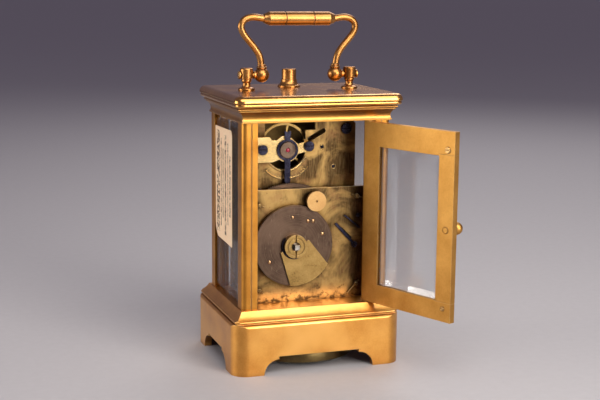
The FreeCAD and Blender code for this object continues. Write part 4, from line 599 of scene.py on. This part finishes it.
# Painted shade: a thin dark ring round the collar on the disc stands in for the shaded gap between
# them.
SHADE_RING_RADIUS, SHADE_RING_WIDTH, SHADE_RING_HEIGHT = 5.35 * MM, 0.62 * MM, 0.25 * MM
SHADE_RING_FROM, SHADE_RING_TO, SHADE_RING_STEPS = -172, 42, 48  # degrees, and the number of runs
SHADE_RING_CROWN = 0.6


def collar_shade_ring():
    """Painted shade: a thin dark blued ring, open at one side, laid on the disc round the collar
    where the gap between them is in shade.
    """
    bm = bmesh.new()
    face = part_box("disc_sector")[1].y
    strip(bm, arc(BARREL, SHADE_RING_RADIUS, SHADE_RING_FROM, SHADE_RING_TO, SHADE_RING_STEPS), SHADE_RING_WIDTH, face,
          SHADE_RING_HEIGHT, SHADE_RING_CROWN)
    piece("collar_shade_ring", bm, "blued_steel", "repeat_work")


PIVOT_HOLES = ((-8.04, 91.06), (-13.37, 82.48))  # x and z in mm
SINK_RADIUS, SINK_WIDTH, SINK_HEIGHT = 0.95 * MM, 0.42 * MM, 0.16 * MM
SINK_STEPS, SINK_CROWN = 32, 0.3
PIVOT_OUTLINE = [(0.72, 0.0), (0.70, 0.05), (0.40, 0.06), (0.36, 0.14), (0.20, 0.18),
                 (0.05, 0.19)]


def pivot_holes():
    """Train pivots that end in the back plate, each in a polished oil sink."""
    for i, (x, z) in enumerate(PIVOT_HOLES):
        centre = (x * MM, z * MM)
        bm = bmesh.new()
        strip(bm, arc(centre, SINK_RADIUS, 0, 360, SINK_STEPS), SINK_WIDTH, BACK_PLATE_FACE,
              SINK_HEIGHT, SINK_CROWN)
        piece(f"oil_sink_{i}", bm, "cock_brass", "case")
        turned(f"pivot_end_{i}", PIVOT_OUTLINE, centre, BACK_PLATE_FACE, "blued_steel", "case")


NUMERALS = ["XII", "I", "II", "III", "IIII", "V", "VI", "VII", "VIII", "IX", "X", "XI"]
# Strokes of each figure, the thick one first, in a cell one high and centred on x = 0.
STROKES = {
    "I": [((0.0, 0.0), (0.0, 1.0))],
    "V": [((-0.36, 1.0), (0.0, 0.0)), ((0.36, 1.0), (0.0, 0.0))],
    "X": [((-0.36, 1.0), (0.36, 0.0)), ((0.36, 1.0), (-0.36, 0.0))],
}
LETTER_WIDTH = {"I": 0.36, "V": 0.86, "X": 0.86}
PRINT_THICKNESS = -0.03 * MM  # towards -Y, where the dial is read from
TRACK_RADII = (17.3, 18.6)  # mm, as are the widths below
TRACK_WIDTH, MINUTE_WIDTH, FIFTH_MINUTE_WIDTH = 0.10, 0.13, 0.34
THICK_STROKE, THIN_STROKE = 0.5, 0.2
TRACK_STEPS = 120
DEGREES_A_MINUTE, DEGREES_AN_HOUR = 6.0, 30.0
FIGURE_HEIGHT, FIGURE_FOOT = 3.6 * MM, 12.6 * MM  # the foot is the distance from the axis
FIGURE_SQUEEZE = 0.72  # width of a figure's cell over its height


def dial_marks():
    """Roman hour figures and a minute track, printed a hair proud of the dial."""
    bm = bmesh.new()
    for radius in TRACK_RADII:
        strip(bm, arc(DIAL, radius * MM, 0, 360, TRACK_STEPS), TRACK_WIDTH * MM, DIAL_FACE,
              PRINT_THICKNESS)
    for minute in range(60):
        width = FIFTH_MINUTE_WIDTH if minute % 5 == 0 else MINUTE_WIDTH
        ends = [on_circle(DIAL, r * MM, DEGREES_A_MINUTE * minute) for r in TRACK_RADII]
        strip(bm, ends, width * MM, DIAL_FACE, PRINT_THICKNESS)
    for hour, letters in enumerate(NUMERALS):
        # +X is on the right of whoever reads the dial, so a turn from +Z towards +X is clockwise
        turn = math.radians(-DEGREES_AN_HOUR * hour)
        across = -sum(LETTER_WIDTH[c] for c in letters) / 2
        for letter in letters:
            middle = across + LETTER_WIDTH[letter] / 2
            across += LETTER_WIDTH[letter]
            for k, stroke in enumerate(STROKES[letter]):
                width = THICK_STROKE if k == 0 else THIN_STROKE
                ends = []
                for u, v in stroke:
                    x = (middle + u) * FIGURE_HEIGHT * FIGURE_SQUEEZE
                    z = FIGURE_FOOT + v * FIGURE_HEIGHT
                    ends.append((DIAL[0] + x * math.cos(turn) - z * math.sin(turn),
                                 DIAL[1] + x * math.sin(turn) + z * math.cos(turn)))
                strip(bm, ends, width * MM, DIAL_FACE, PRINT_THICKNESS)
    piece("dial_marks", bm, "dial_ink", "case")


# --------------------------------------------------------------------------------------
# Studio
# --------------------------------------------------------------------------------------
FLOOR_RADIUS, FLOOR_SIDES = 20.0, 96
FLOOR_DROP = 0.02 * MM  # keeps the floor clear of the feet


def build_floor():
    bm = bmesh.new()
    bmesh.ops.create_circle(bm, cap_ends=True, radius=FLOOR_RADIUS, segments=FLOOR_SIDES)
    item = bpy.data.objects.new("floor", finished("floor", bm))
    bpy.context.collection.objects.link(item)
    item.data.materials.append(floor_finish())
    item.location.z = -FLOOR_DROP


LIGHT_TARGET = (0.0, 0.0, 0.07)
LIGHTS = (  # name, place, width, height, watts, colour, spread in degrees
    ("key", (-0.27, 0.66, 0.25), 0.34, 0.30, 1.32, (1.0, 0.93, 0.84), 110),
    ("overhead", (-0.02, 0.52, 0.66), 0.80, 0.50, 6.0, (1.0, 0.96, 0.90), 180),
    ("door_side", (0.74, -0.10, 0.18), 0.45, 0.30, 0.85, (1.0, 0.94, 0.86), 100),
    ("front", (-0.42, -0.62, 0.66), 0.40, 0.40, 2.2, (1.0, 0.96, 0.92), 180),
)


def softbox(name, at, width, height, power, colour, spread):
    light = bpy.data.lights.new(name, "AREA")
    light.shape = "RECTANGLE"
    light.size, light.size_y = width, height
    light.energy = power
    light.color = colour
    light.spread = math.radians(spread)
    item = bpy.data.objects.new(name, light)
    bpy.context.collection.objects.link(item)
    item.location = at
    aim = Vector(LIGHT_TARGET) - Vector(at)
    item.rotation_euler = aim.to_track_quat("-Z", "Y").to_euler()


SKY = ((0.0, (0.150, 0.126, 0.165, 1)), (0.9, (0.165, 0.142, 0.185, 1)))  # level, then overhead


def build_world():
    world = bpy.data.worlds.new("studio")
    bpy.context.scene.world = world
    world.use_nodes = True
    tree = world.node_tree
    background = tree.nodes["Background"]
    coordinate = tree.nodes.new("ShaderNodeTexCoord")
    split = tree.nodes.new("ShaderNodeSeparateXYZ")
    ramp = tree.nodes.new("ShaderNodeValToRGB")
    tree.links.new(coordinate.outputs["Generated"], split.inputs[0])
    tree.links.new(split.outputs[2], ramp.inputs[0])
    tree.links.new(ramp.outputs[0], background.inputs["Color"])
    for element, (position, colour) in zip(ramp.color_ramp.elements, SKY):
        element.position = position
        element.color = colour
    background.inputs["Strength"].default_value = 1.0


CAMERA_AT = Vector((0.1691, 0.49614, 0.16029))
CAMERA_YAW = math.radians(198.942)
CAMERA_PITCH = math.radians(-10.077)
CAMERA_ROLL = math.radians(0.541)
CAMERA_LENS = 73.98
CAMERA_SENSOR = 36.0
CAMERA_NEAR = 0.01


def build_camera():
    forward = Vector((math.sin(CAMERA_YAW) * math.cos(CAMERA_PITCH),
                      math.cos(CAMERA_YAW) * math.cos(CAMERA_PITCH), math.sin(CAMERA_PITCH)))
    right = forward.cross(Vector((0, 0, 1))).normalized()
    up = right.cross(forward)
    rolled_right = right * math.cos(CAMERA_ROLL) + up * math.sin(CAMERA_ROLL)
    rolled_up = up * math.cos(CAMERA_ROLL) - right * math.sin(CAMERA_ROLL)
    data = bpy.data.cameras.new("camera")
    data.lens = CAMERA_LENS
    data.sensor_width = CAMERA_SENSOR
    data.clip_start = CAMERA_NEAR
    item = bpy.data.objects.new("camera", data)
    bpy.context.collection.objects.link(item)
    axes = Matrix((rolled_right, rolled_up, -forward)).transposed()
    item.matrix_world = Matrix.Translation(CAMERA_AT) @ axes.to_4x4()
    bpy.context.scene.camera = item


dress_frame()
regulator_scale()
jewel()
disc_rivets()
collar_shade_ring()
pivot_holes()
dial_marks()
build_floor()
bpy.context.scene.view_settings.view_transform = "Standard"
build_world()
build_camera()
for light_row in LIGHTS:
    softbox(*light_row)
